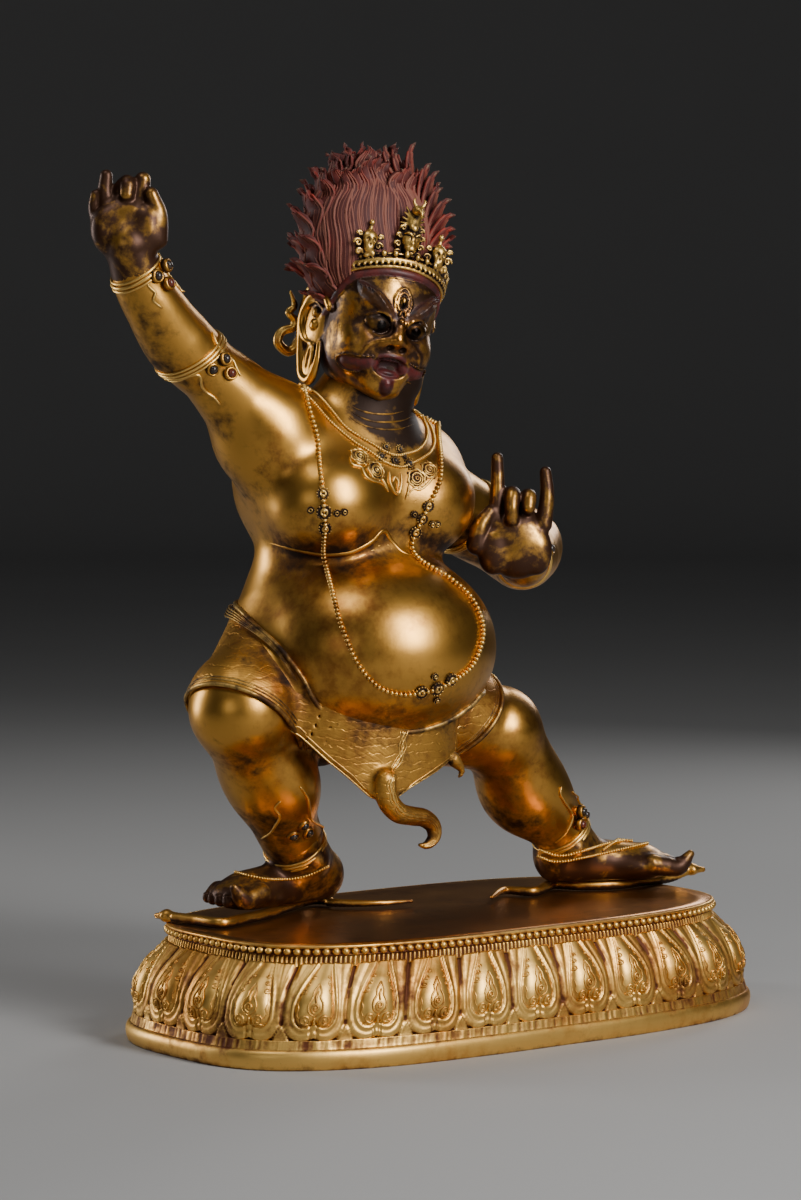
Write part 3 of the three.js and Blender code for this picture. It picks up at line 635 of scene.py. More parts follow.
def tube(line: Array, radii: Array | float, normals: Array | None = None, sides: int = 8, flat: float = 1.0,
         closed: bool = False) -> tuple[Array, Array, Array]:
    """A tube along a line, closed at both ends or run round into itself.

    Args:
        line: The points of its middle line.
        radii: Its radius, one value or one for each point.
        normals: The way up at each point; without them the tube keeps its own twist low.
        sides: How many points go round it.
        flat: How high it is, as a share of its width.
        closed: Whether the line runs back to its start.

    Returns:
        Its points, four-sided faces and three-sided faces.
    """
    count = len(line)
    radii = np.broadcast_to(np.asarray(radii, float), (count,))
    if closed:
        ahead = np.roll(line, -1, 0) - np.roll(line, 1, 0)
    else:
        ahead = np.gradient(line, axis=0)
    tangents = unit(ahead)
    if normals is None:
        lead = np.array([0.0, 0, 1]) if abs(tangents[0][2]) < 0.9 else np.array([1.0, 0, 0])
        normals = np.zeros_like(line)
        for i, tangent in enumerate(tangents):
            lead = unit(lead - tangent * (lead @ tangent))
            normals[i] = lead
    normals = unit(normals - tangents * (normals * tangents).sum(1)[:, None])
    across = np.cross(tangents, normals)
    angles = 2 * np.pi * np.arange(sides) / sides
    reach = radii[:, None, None]
    rings = line[:, None] + normals[:, None] * reach * np.cos(angles)[None, :, None] * flat
    rings = rings + across[:, None] * reach * np.sin(angles)[None, :, None]
    points = rings.reshape(-1, 3)
    quads = ring_faces(count, sides, closed)
    if closed:
        return points, quads, np.zeros((0, 3), int)
    tips = np.stack([line[0] - tangents[0] * radii[0] * 0.7, line[-1] + tangents[-1] * radii[-1] * 0.7])
    return np.concatenate([points, tips]), quads, end_caps(count, sides)


def turned(profile: Sequence[Point], centre: Array, axis: Array, sides: int = 20,
           scallops: int = 0, depth: float = 0.0) -> tuple[Array, Array, Array]:
    """A small turned form, such as a bezel or a boss.

    Args:
        profile: Pairs of a radius and a height, from the bottom outwards and up to the middle of the top.
        centre: The place of its foot.
        axis: The way that it stands up.
        sides: How many points go round it.
        scallops: How many lobes its rim has.
        depth: How deep the lobes are cut, as a share of the radius.

    Returns:
        Its points, four-sided faces and three-sided faces.
    """
    up = unit(np.asarray(axis, float))
    side = unit(np.cross(up, [0.3, 0.1, 1.0]))
    other = np.cross(up, side)
    angles = 2 * np.pi * np.arange(sides) / sides
    rims = np.asarray(profile, float)
    lobes = 1 - depth * (0.5 - 0.5 * np.cos(angles * scallops)) if scallops else np.ones(sides)
    radius = rims[:, :1] * lobes
    rings = radius[..., None] * (np.cos(angles)[:, None] * side + np.sin(angles)[:, None] * other)
    points = (centre + rings + rims[:, 1][:, None, None] * up).reshape(-1, 3)
    ends = np.stack([centre + up * rims[0, 1], centre + up * rims[-1, 1]])
    return np.concatenate([points, ends]), ring_faces(len(rims), sides), end_caps(len(rims), sides)


class Slot(Enum):
    """The record's material slots."""

    GILT = "gilt_bronze"
    PLINTH = "plinth_gilt"
    CROWN = "crown_gilt"
    SNAKE = "snake_gilt"
    HAIR = "red_hair"
    STONE = "inlay_stone"


class Value:
    """A number socket in a material, with arithmetic written as Python."""

    def __init__(self, shader: "Shader", socket: bpy.types.NodeSocket) -> None:
        """Wrap a socket."""
        self.shader = shader
        self.socket = socket

    def maths(self, operation: str, one: "Value | float", other: "Value | float" = 0.0) -> "Value":
        """The result of a Math node."""
        node = self.shader.node("ShaderNodeMath", {"operation": operation}, {0: one, 1: other})
        return Value(self.shader, node.outputs[0])

    def __add__(self, other: "Value | float") -> "Value":
        """The sum."""
        return self.maths("ADD", self, other)

    __radd__ = __add__

    def __sub__(self, other: "Value | float") -> "Value":
        """The difference."""
        return self.maths("SUBTRACT", self, other)

    def __rsub__(self, other: float) -> "Value":
        """The difference from a number."""
        return self.maths("SUBTRACT", other, self)

    def __mul__(self, other: "Value | float") -> "Value":
        """The product."""
        return self.maths("MULTIPLY", self, other)

    __rmul__ = __mul__

    def rise(self, low: float, high: float) -> "Value":
        """A smooth step from 0 at low to 1 at high."""
        settings = {"interpolation_type": "SMOOTHSTEP"}
        node = self.shader.node("ShaderNodeMapRange", settings, {"Value": self, 1: low, 2: high})
        return Value(self.shader, node.outputs[0])


def add_node(tree: bpy.types.NodeTree, kind: str, settings: dict | None = None,
             inputs: dict | None = None) -> bpy.types.Node:
    """Add a node to a tree.

    Args:
        tree: The tree.
        kind: The node's type.
        settings: Its properties, set first.
        inputs: What its sockets hold: values, wrapped values or sockets to link.

    Returns:
        The node.
    """
    node = tree.nodes.new(kind)
    for key, setting in (settings or {}).items():
        setattr(node, key, setting)
    for key, given in (inputs or {}).items():
        source = given.socket if isinstance(given, Value) else given
        if isinstance(source, bpy.types.NodeSocket):
            tree.links.new(source, node.inputs[key])
        else:
            node.inputs[key].default_value = source
    return node


class Shader:
    """A material under construction."""

    def __init__(self, name: str) -> None:
        """Start a material with its one shader node."""
        self.material = bpy.data.materials.new(name)
        self.material.use_nodes = True
        self.tree = self.material.node_tree
        self.tree.nodes.clear()
        self.skin = self.node("ShaderNodeBsdfPrincipled")
        output = self.node("ShaderNodeOutputMaterial")
        self.tree.links.new(self.skin.outputs[0], output.inputs[0])
        self.place = self.node("ShaderNodeTexCoord").outputs["Object"]

    def node(self, kind: str, settings: dict | None = None, inputs: dict | None = None) -> bpy.types.Node:
        """Add a node with its settings and inputs."""
        return add_node(self.tree, kind, settings, inputs)

    def noise(self, scale: float, detail: float = 3.0, twist: float = 0.0,
              stretch: tuple[float, float, float] = (1, 1, 1)) -> Value:
        """Noise over the object's own space, its scale counted per metre."""
        place = self.place
        if stretch != (1, 1, 1):
            place = self.node("ShaderNodeMapping", None, {0: place, 3: stretch}).outputs[0]
        node = self.node("ShaderNodeTexNoise", None, {"Vector": place, "Scale": scale, "Detail": detail,
                                                      "Roughness": 0.6, "Distortion": twist})
        return Value(self, node.outputs[0])

    def painted(self, name: str) -> Value:
        """A value painted on the piece's points."""
        node = self.node("ShaderNodeAttribute", {"attribute_name": name})
        return Value(self, node.outputs["Fac"])

    def mix(self, share: Value, one: bpy.types.NodeSocket | tuple, other: bpy.types.NodeSocket | tuple
            ) -> bpy.types.NodeSocket:
        """One colour turning into another."""
        node = self.node("ShaderNodeMix", {"data_type": "RGBA"}, {0: share, 6: one, 7: other})
        return node.outputs[2]

    def bump(self, height: Value, depth: float, strength: float = 1.0) -> bpy.types.NodeSocket:
        """A normal from a height, its full depth in metres."""
        node = self.node("ShaderNodeBump", None, {"Height": height, "Distance": depth, "Strength": strength})
        return node.outputs[0]

    def finish(self, colour: bpy.types.NodeSocket | tuple, roughness: Value | float, metallic: Value | float,
               normal: bpy.types.NodeSocket | None = None) -> bpy.types.Material:
        """Set what the surface shows and hand the material over."""
        given = {"Base Color": colour, "Roughness": roughness, "Metallic": metallic, "Normal": normal}
        for key, value in given.items():
            source = value.socket if isinstance(value, Value) else value
            if isinstance(source, bpy.types.NodeSocket):
                self.tree.links.new(source, self.skin.inputs[key])
            elif source is not None:
                self.skin.inputs[key].default_value = source
        return self.material


def shade(red: float, green: float, blue: float) -> tuple[float, float, float, float]:
    """A colour as seen on a screen, 0 to 255, as the linear colour that a node takes."""
    shares = [value / 255 for value in (red, green, blue)]
    parts = [share / 12.92 if share <= 0.04 else ((share + 0.055) / 1.055) ** 2.4 for share in shares]
    return (*parts, 1.0)


@dataclass(frozen=True)
class Gilt:
    """Old fire gilding: warm gold, brown in the hollows as patina and painted shade, rubbed and darkened
    where it was touched, and darker where painted values lay shade and dirt on it.
    """

    name: str
    gold: tuple = shade(206, 152, 70)
    warm: tuple = shade(152, 98, 46)
    dark: tuple = shade(42, 25, 14)
    stain: tuple = shade(112, 58, 27)
    darkness: float = 0.04
    wear: float = 2.7
    # How strongly hollows darken the gold, as painted shade and patina.
    hollow: float = 1.0
    smooth: float = 0.26
    rough: float = 0.5
    cloth: bool = False
    slot: Slot = Slot.GILT

    def make(self) -> bpy.types.Material:
        """Build the material."""
        shader = Shader(self.name)
        broad = shader.noise(11.0, 3.0)
        patches = shader.noise(34.0, 5.0, 0.6)
        mottle = shader.noise(130.0, 4.0)
        grain = shader.noise(900.0, 3.0)
        brush = shader.noise(300.0, 2.0, 0.0, (1.0, 1.0, 0.12))
        # How shut in the surface is: it darkens and browns the gold as painted shade and patina in recesses.
        hollow = shader.painted("hollow")
        # The piece's painted dirt and shade values, raised by the finish's own darkness.
        grime = shader.painted("grime") + self.darkness
        shut = hollow * (2.0 * self.hollow)
        # The dark mask: painted shade from the hollows and the painted values, with random patches of wear.
        shading_and_wear = (shut + (patches - 0.5) * self.wear + (mottle - 0.5) * (self.wear * 0.55) + grime * 2.6 - 0.4)
        shading_and_wear = shading_and_wear.rise(0.1, 1.3)
        # Warmer in broad patches and in hollows; the warmth in the hollows is painted shade.
        amber = ((broad - 0.5) * 3.6 + (mottle - 0.5) * 1.6 + hollow * 1.1 + 0.1).rise(0.0, 1.1)
        colour = shader.mix(amber, self.gold, self.warm)
        # Stains in patches, heavier in hollows, where they are partly painted shade.
        colour = shader.mix((patches * 1.3 + hollow * 0.7).rise(0.95, 1.5), colour, self.stain)
        colour = shader.mix(shading_and_wear, colour, self.dark)
        pits = (1.0 - shader.noise(420.0, 2.0).rise(0.2, 0.34)) * mottle.rise(0.45, 0.7)
        colour = shader.mix(pits * 0.6, colour, self.dark)
        red = shader.painted("red")
        pigment = shader.mix((mottle * 1.0).rise(0.35, 0.7), shade(88, 26, 22), shade(48, 16, 16))
        colour = shader.mix(red, colour, pigment)
        colour = shader.mix(shader.painted("black"), colour, shade(16, 11, 9))
        roughness = self.smooth + patches * 0.1 + shading_and_wear * (self.rough - self.smooth)
        roughness = roughness + grain * 0.05 + red * 0.12
        metallic = 1.0 - shading_and_wear * 0.35 - red * 0.75
        height = brush * 0.35 + grain * 0.2 + mottle * 0.5 - pits * 0.5
        if self.cloth:
            height = height + self.weave(shader) * 1.3
        return shader.finish(colour, roughness, metallic, shader.bump(height, 0.00022, 0.55))

    def weave(self, shader: Shader) -> Value:
        """Engraved lines of cloud scroll across the cloth, with fine hatching between them."""
        settings = {"wave_type": "BANDS", "bands_direction": "Z"}
        clouds = shader.node("ShaderNodeTexWave", settings, {
            "Vector": shader.place, "Scale": 46.0, "Distortion": 5.0, "Detail": 2.0, "Detail Scale": 2.2})
        hatch = shader.node("ShaderNodeTexWave", {"wave_type": "BANDS", "bands_direction": "DIAGONAL"}, {
            "Vector": shader.place, "Scale": 170.0, "Distortion": 1.5})
        lines = Value(shader, clouds.outputs["Fac"]).rise(0.82, 0.98)
        fine = Value(shader, hatch.outputs["Fac"]).rise(0.5, 1.0)
        return 1.0 - lines * 0.9 - fine * 0.25


@dataclass(frozen=True)
class Pigment:
    """Matt red pigment over the flame hair, paler on the ridges and at the tips, a brighter red in patches,
    and dark below the ridges and on the dome beneath the strands as painted shade.
    """

    name: str
    ridge: tuple = shade(128, 76, 60)
    body: tuple = shade(98, 28, 19)
    groove: tuple = shade(146, 34, 18)
    tip: tuple = shade(122, 108, 88)
    slot: Slot = Slot.HAIR

    def make(self) -> bpy.types.Material:
        """Build the material."""
        shader = Shader(self.name)
        mottle = shader.noise(120.0, 4.0)
        patches = shader.noise(26.0, 3.0)
        grain = shader.noise(1100.0, 2.0)
        ridge = shader.painted("ridge")
        colour = shader.mix(patches.rise(0.4, 0.68), self.body, self.groove)
        colour = shader.mix((ridge + (mottle - 0.5) * 0.8).rise(0.35, 0.95), colour, self.ridge)
        colour = shader.mix((shader.painted("tip") + (mottle - 0.5) * 0.7).rise(0.45, 1.0), colour, self.tip)
        # Painted shade: dark where the ridge value is low, on the strands' undersides, on the blades and on
        # the dome beneath them.
        colour = shader.mix((1.0 - ridge).rise(0.75, 1.0) * 0.65, colour, shade(52, 20, 16))
        roughness = 0.6 + mottle * 0.2
        return shader.finish(colour, roughness, shader.painted("tip") * 0.35,
                             shader.bump(mottle * 0.5 + grain * 0.3, 0.0003, 0.6))


@dataclass(frozen=True)
class Inlay:
    """A small polished stone, dark or rusty red."""

    name: str
    colour: tuple = shade(30, 28, 26)
    slot: Slot = Slot.STONE

    def make(self) -> bpy.types.Material:
        """Build the material."""
        shader = Shader(self.name)
        cloud = shader.noise(700.0, 3.0)
        colour = shader.mix(cloud.rise(0.4, 0.7), self.colour, shade(70, 52, 40))
        return shader.finish(colour, 0.16 + cloud * 0.12, 0.0, shader.bump(cloud, 0.0001, 0.3))


class Finish(Enum):
    """The finishes of the statue."""

    BODY = Gilt("gilt_skin")
    FACE = Gilt("gilt_face", dark=shade(56, 34, 20), hollow=1.25, smooth=0.22, rough=0.34, darkness=0.34,
                wear=4.2)
    DARK = Gilt("gilt_handled", dark=shade(66, 40, 24), hollow=1.2, smooth=0.22, rough=0.34, darkness=0.62,
                wear=3.6)
    FOOT = Gilt("gilt_foot", dark=shade(66, 40, 24), hollow=1.2, smooth=0.22, rough=0.34, darkness=0.3,
                wear=3.8)
    CLOTH = Gilt("gilt_cloth", darkness=0.06, hollow=0.75, smooth=0.36, rough=0.55, cloth=True)
    ORNAMENT = Gilt("gilt_ornament", gold=shade(236, 192, 108), hollow=1.5, smooth=0.3)
    CROWN = Gilt("gilt_crown", gold=shade(228, 184, 100), hollow=1.7, smooth=0.3, darkness=0.06,
                 slot=Slot.CROWN)
    PLINTH = Gilt("gilt_plinth", gold=shade(240, 192, 104), warm=shade(212, 150, 70), dark=shade(92, 46, 20),
                  stain=shade(134, 70, 30), hollow=1.35, smooth=0.34, rough=0.55, darkness=-0.06,
                  slot=Slot.PLINTH)
    PLATE = Gilt("gilt_plate", gold=shade(196, 138, 76), warm=shade(150, 94, 46), dark=shade(58, 36, 21),
                 darkness=0.08, smooth=0.24, rough=0.36, slot=Slot.PLINTH)
    SNAKE = Gilt("gilt_snake", gold=shade(214, 160, 78), warm=shade(170, 104, 44), hollow=1.2, smooth=0.3,
                 slot=Slot.SNAKE)
    HAIR = Pigment("red_pigment")
    STONE = Inlay("dark_stone")
    RUST = Inlay("rusty_stone", colour=shade(96, 34, 20))


# The CAD nodes that a piece stands for, by its slot.
STANDS_FOR = {
    Slot.GILT: ("figure",),
    Slot.PLINTH: ("plinth",),
    Slot.CROWN: ("crown",),
    Slot.HAIR: ("flame_hair",),
}


class Workshop:
    """Keeps the made materials and hands pieces over to the frame."""

    def __init__(self) -> None:
        """Start with no material made."""
        self.made: dict[Finish, bpy.types.Material] = {}

    def material(self, finish: Finish) -> bpy.types.Material:
        """The material of a finish, made once."""
        if finish not in self.made:
            self.made[finish] = finish.value.make()
        return self.made[finish]

    def deliver(self, name: str, mesh: bpy.types.Mesh, finish: Finish, nodes: Sequence[str] = ()) -> None:
        """Dress a mesh, put it in the scene and let it ride on the statue.

        Args:
            name: The piece's name.
            mesh: Its mesh, in metres and in place.
            finish: Its finish.
            nodes: The CAD nodes that it replaces, where they aren't its slot's own.
        """
        slot = finish.value.slot
        stands_for = nodes or STANDS_FOR.get(slot, ())
        mesh.materials.clear()
        mesh.materials.append(self.material(finish))
        piece = bpy.data.objects.new(name, mesh)
        bpy.context.scene.collection.objects.link(piece)
        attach(piece, "root")
        if stands_for:
            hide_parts(*stands_for)
        LOG.info("%s: %d triangles", name, sum(len(face.vertices) - 2 for face in mesh.polygons))

    def cast(self, name: str, shape: Shape, finish: Finish, nodes: Sequence[str] = ()) -> None:
        """Deliver a shape, whose arguments are deliver's own."""
        self.deliver(name, shape.mesh(name), finish, nodes)

    def cover(self, name: str, skin: Skin, paints: dict[str, Array], finish: Finish) -> None:
        """Deliver the skin of some clay with values painted on it."""
        shape = Shape()
        shape.add(skin.points, skin.faces, paints=paints)
        self.cast(name, shape, finish)

    def strings(self, name: str, routes: Sequence[Array], closed: bool, pitch: float, radius: float,
                stretch: Point, finish: Finish) -> None:
        """Beads set along routes by a Geometry Nodes tree.

        Args:
            name: The piece's name.
            routes: Lines of points, each a string of its own.
            closed: Whether each string runs back to its start.
            pitch: The distance between beads.
            radius: The size of a bead.
            stretch: How a bead is stretched along the string, across it and up.
            finish: Its finish.
        """
        guide = bpy.data.meshes.new(name + "_route")
        points = np.concatenate(routes) * MM
        edges, start = [], 0
        for route in routes:
            last = len(route) if closed else len(route) - 1
            edges += [(start + i, start + (i + 1) % len(route)) for i in range(last)]
            start += len(route)
        guide.from_pydata(points.tolist(), edges, [])
        carrier = bpy.data.objects.new(name + "_route", guide)
        bpy.context.scene.collection.objects.link(carrier)
        modifier = carrier.modifiers.new("beads", "NODES")
        modifier.node_group = bead_tree()
        inputs = {"Pitch": pitch * MM, "Radius": radius * MM, "Stretch": tuple(stretch),
                  "Finish": self.material(finish)}
        for item in modifier.node_group.interface.items_tree:
            if item.item_type == "SOCKET" and item.in_out == "INPUT" and item.name in inputs:
                modifier[item.identifier] = inputs[item.name]
        ready = carrier.evaluated_get(bpy.context.evaluated_depsgraph_get())
        mesh = bpy.data.meshes.new_from_object(ready)
        bpy.data.objects.remove(carrier)
        self.deliver(name, mesh, finish)


def bead_tree() -> bpy.types.NodeTree:
    """The tree that sets beads along every route of a piece, made once."""
    found = bpy.data.node_groups.get("bead_string")
    if found:
        return found
    tree = bpy.data.node_groups.new("bead_string", "GeometryNodeTree")
    face = tree.interface
    face.new_socket("Route", in_out="INPUT", socket_type="NodeSocketGeometry")
    sockets = {"Pitch": "Float", "Radius": "Float", "Stretch": "Vector", "Finish": "Material"}
    for name, kind in sockets.items():
        face.new_socket(name, in_out="INPUT", socket_type="NodeSocket" + kind)
    face.new_socket("Beads", in_out="OUTPUT", socket_type="NodeSocketGeometry")

    add = partial(add_node, tree)
    given = add("NodeGroupInput").outputs
    curve = add("GeometryNodeMeshToCurve", None, {0: given["Route"]}).outputs[0]
    even = add("GeometryNodeResampleCurve", {"mode": "LENGTH"}, {"Curve": curve, "Length": given["Pitch"]})
    bead = add("GeometryNodeMeshIcoSphere", None, {"Radius": given["Radius"], "Subdivisions": 2})
    tangent = add("GeometryNodeInputTangent").outputs[0]
    aim = add("FunctionNodeAlignRotationToVector", {"axis": "X"}, {"Vector": tangent}).outputs[0]
    beads = add("GeometryNodeInstanceOnPoints", None, {
        "Points": even.outputs[0], "Instance": bead.outputs[0], "Rotation": aim, "Scale": given["Stretch"]})
    real = add("GeometryNodeRealizeInstances", None, {0: beads.outputs[0]}).outputs[0]
    round_ = add("GeometryNodeSetShadeSmooth", None, {0: real}).outputs[0]
    dressed = add("GeometryNodeSetMaterial", None, {0: round_, "Material": given["Finish"]}).outputs[0]
    add("NodeGroupOutput", None, {0: dressed})
    return tree


def both(points: Sequence[Point]) -> list[list[Point]]:
    """A row of points on the left side of a face, and its mirror on the right."""
    return [[(side * x, y, z) for x, y, z in points] for side in (-1, 1)]


def spiral(start: float, end: float, wide: float, narrow: float, count: int) -> Array:
    """Steps in a plane away from a point, along a line that winds in between two angles."""
    angles, reach = np.linspace(start, end, count), np.linspace(wide, narrow, count)
    return np.stack([reach * np.cos(angles), reach * np.sin(angles)], 1)


def limb_ring(centre: Point, along: Point, radius: float, count: int = 40) -> Array:
    """Points on a circle round an axis."""
    axis = unit(np.asarray(along, float))
    side = unit(np.cross(axis, [0.0, 1.0, 0.3]))
    other = np.cross(axis, side)
    angles = 2 * np.pi * np.arange(count)[:, None] / count
    return np.asarray(centre) + radius * (np.cos(angles) * side + np.sin(angles) * other)


@dataclass
class Body:
    """The stout trunk, both arms to the wrists and both legs to the ankles, cast in one."""

    step: float = 3.4
    middle: float = -72.0
    right_elbow: Point = (-229, 31, 533)
    right_wrist: Point = (-274, 24, 592)
    left_elbow: Point = (111, 43, 370)
    left_wrist: Point = (58, -24, 362)
    right_knee: Point = (-192, 8, 256)
    right_ankle: Point = (-107, 49, 134)
    left_knee: Point = (58, 10, 226)
    left_ankle: Point = (141, 20, 128)
    collar: Point = (-64, -16, 484)

    def __post_init__(self) -> None:
        """Put the clay together once, because the ornament is laid on it."""
        self.clay = Clay([*self.trunk(), *self.arms(), *self.legs()])

    def trunk(self) -> list[Form]:
        """Pelvis, heavy belly, chest with its two lobes, shoulders, neck and back."""
        x = self.middle
        lobes = [Ball(centre=(x + side * 43, 0, 412), radii=(48, 43, 43), turn=(0, 0, side * 8), blend=12)
                 for side in (-1, 1)]
        blades = [Ball(centre=(x + side * 44, 66, 424), radii=(34, 24, 40), blend=20) for side in (-1, 1)]
        seat = [Ball(centre=(x + side * 34, 58, 262), radii=(42, 40, 40), blend=16) for side in (-1, 1)]
        return [
            Ball(centre=(x, 34, 262), radii=(76, 60, 50), blend=20),
            Ball(centre=(x, 2, 299), radii=(98, 95, 77), blend=20),
            Ball(centre=(x, 40, 335), radii=(82, 58, 70), blend=30),
            Ball(centre=(x, 32, 420), radii=(88, 66, 71), blend=24),
            *lobes,
            Ball(centre=(-146, 32, 462), radii=(43, 40, 42), blend=24),
            Ball(centre=(-6, 36, 433), radii=(39, 38, 38), blend=24),
            Limb(start=(-70, 28, 470), end=(-58, 12, 512), start_radius=46, end_radius=36, blend=16),
            *blades,
            *seat,
            Roll(points=[(x, 108, 452), (x, 106, 400), (x, 104, 350), (x, 104, 300)], radii=[5, 7, 8, 5],
                 spacing=14, blend=22, role=Role.CUT),
        ]

    def arms(self) -> list[Form]:
        """The raised right arm and the left arm bent before the body."""
        right = [(-146, 32, 464), (-188, 31, 501), self.right_elbow, (-255, 27, 561), (-267, 26, 577),
                 self.right_wrist]
        left = [(-10, 38, 424), (50, 42, 396), self.left_elbow]
        fore = [(113, 46, 368), (92, 20, 366), self.left_wrist, (48, -30, 366)]
        return [
            Roll(points=right, radii=[42, 31, 25, 26.5, 22.5, 18.5], spacing=4, blend=10),
            Roll(points=left, radii=[36, 32, 31], spacing=4, blend=12),
            Roll(points=fore, radii=[30, 30, 22, 19], spacing=9, blend=9),
        ]

    def legs(self) -> list[Form]:
        """Thighs, knees and heavy calves."""
        calf_right = Ball(centre=(-152, 26, 204), radii=(36, 39, 50), turn=(0, -33, 0), blend=10)
        calf_left = Ball(centre=(92, 20, 176), radii=(34, 35, 44), turn=(0, -40, 0), blend=12)
        return [
            Limb(start=(-112, 34, 262), end=self.right_knee, start_radius=58, end_radius=37, blend=16),
            Limb(start=(-128, 40, 300), end=(-176, 18, 262), start_radius=44, end_radius=38, blend=18),
            Limb(start=self.right_knee, end=self.right_ankle, start_radius=36, end_radius=23, blend=7),
            calf_right,
            Limb(start=(-30, 34, 258), end=self.left_knee, start_radius=58, end_radius=36, blend=16),
            Limb(start=self.left_knee, end=self.left_ankle, start_radius=35, end_radius=22.5, blend=7),
            calf_left,
        ]

    def build(self, shop: Workshop) -> None:
        """Skin the clay and hand it over."""
        skin = self.clay.skin(self.step)
        collar = np.linalg.norm(skin.points - np.array(self.collar), axis=1)
        # Darker towards the feet and towards the right wrist.
        grime = ramp(205, 150, skin.points[:, 2]) * 0.14 + ramp(-238, -268, skin.points[:, 0]) * 0.12
        # Painted shade: a dark patch at the base of the neck under the head, and darker skin where it faces
        # down.
        grime += ramp(50, 22, collar) * 0.75 + ramp(0.05, -0.75, skin.normals[:, 2]) * 0.26
        # The hollow value paints shade and patina into the skin's recesses.
        paints = {"hollow": self.clay.hollows(skin, (6.0, 14.0, 30.0)), "grime": grime}
        shop.cover("body", skin, paints, Finish.BODY)


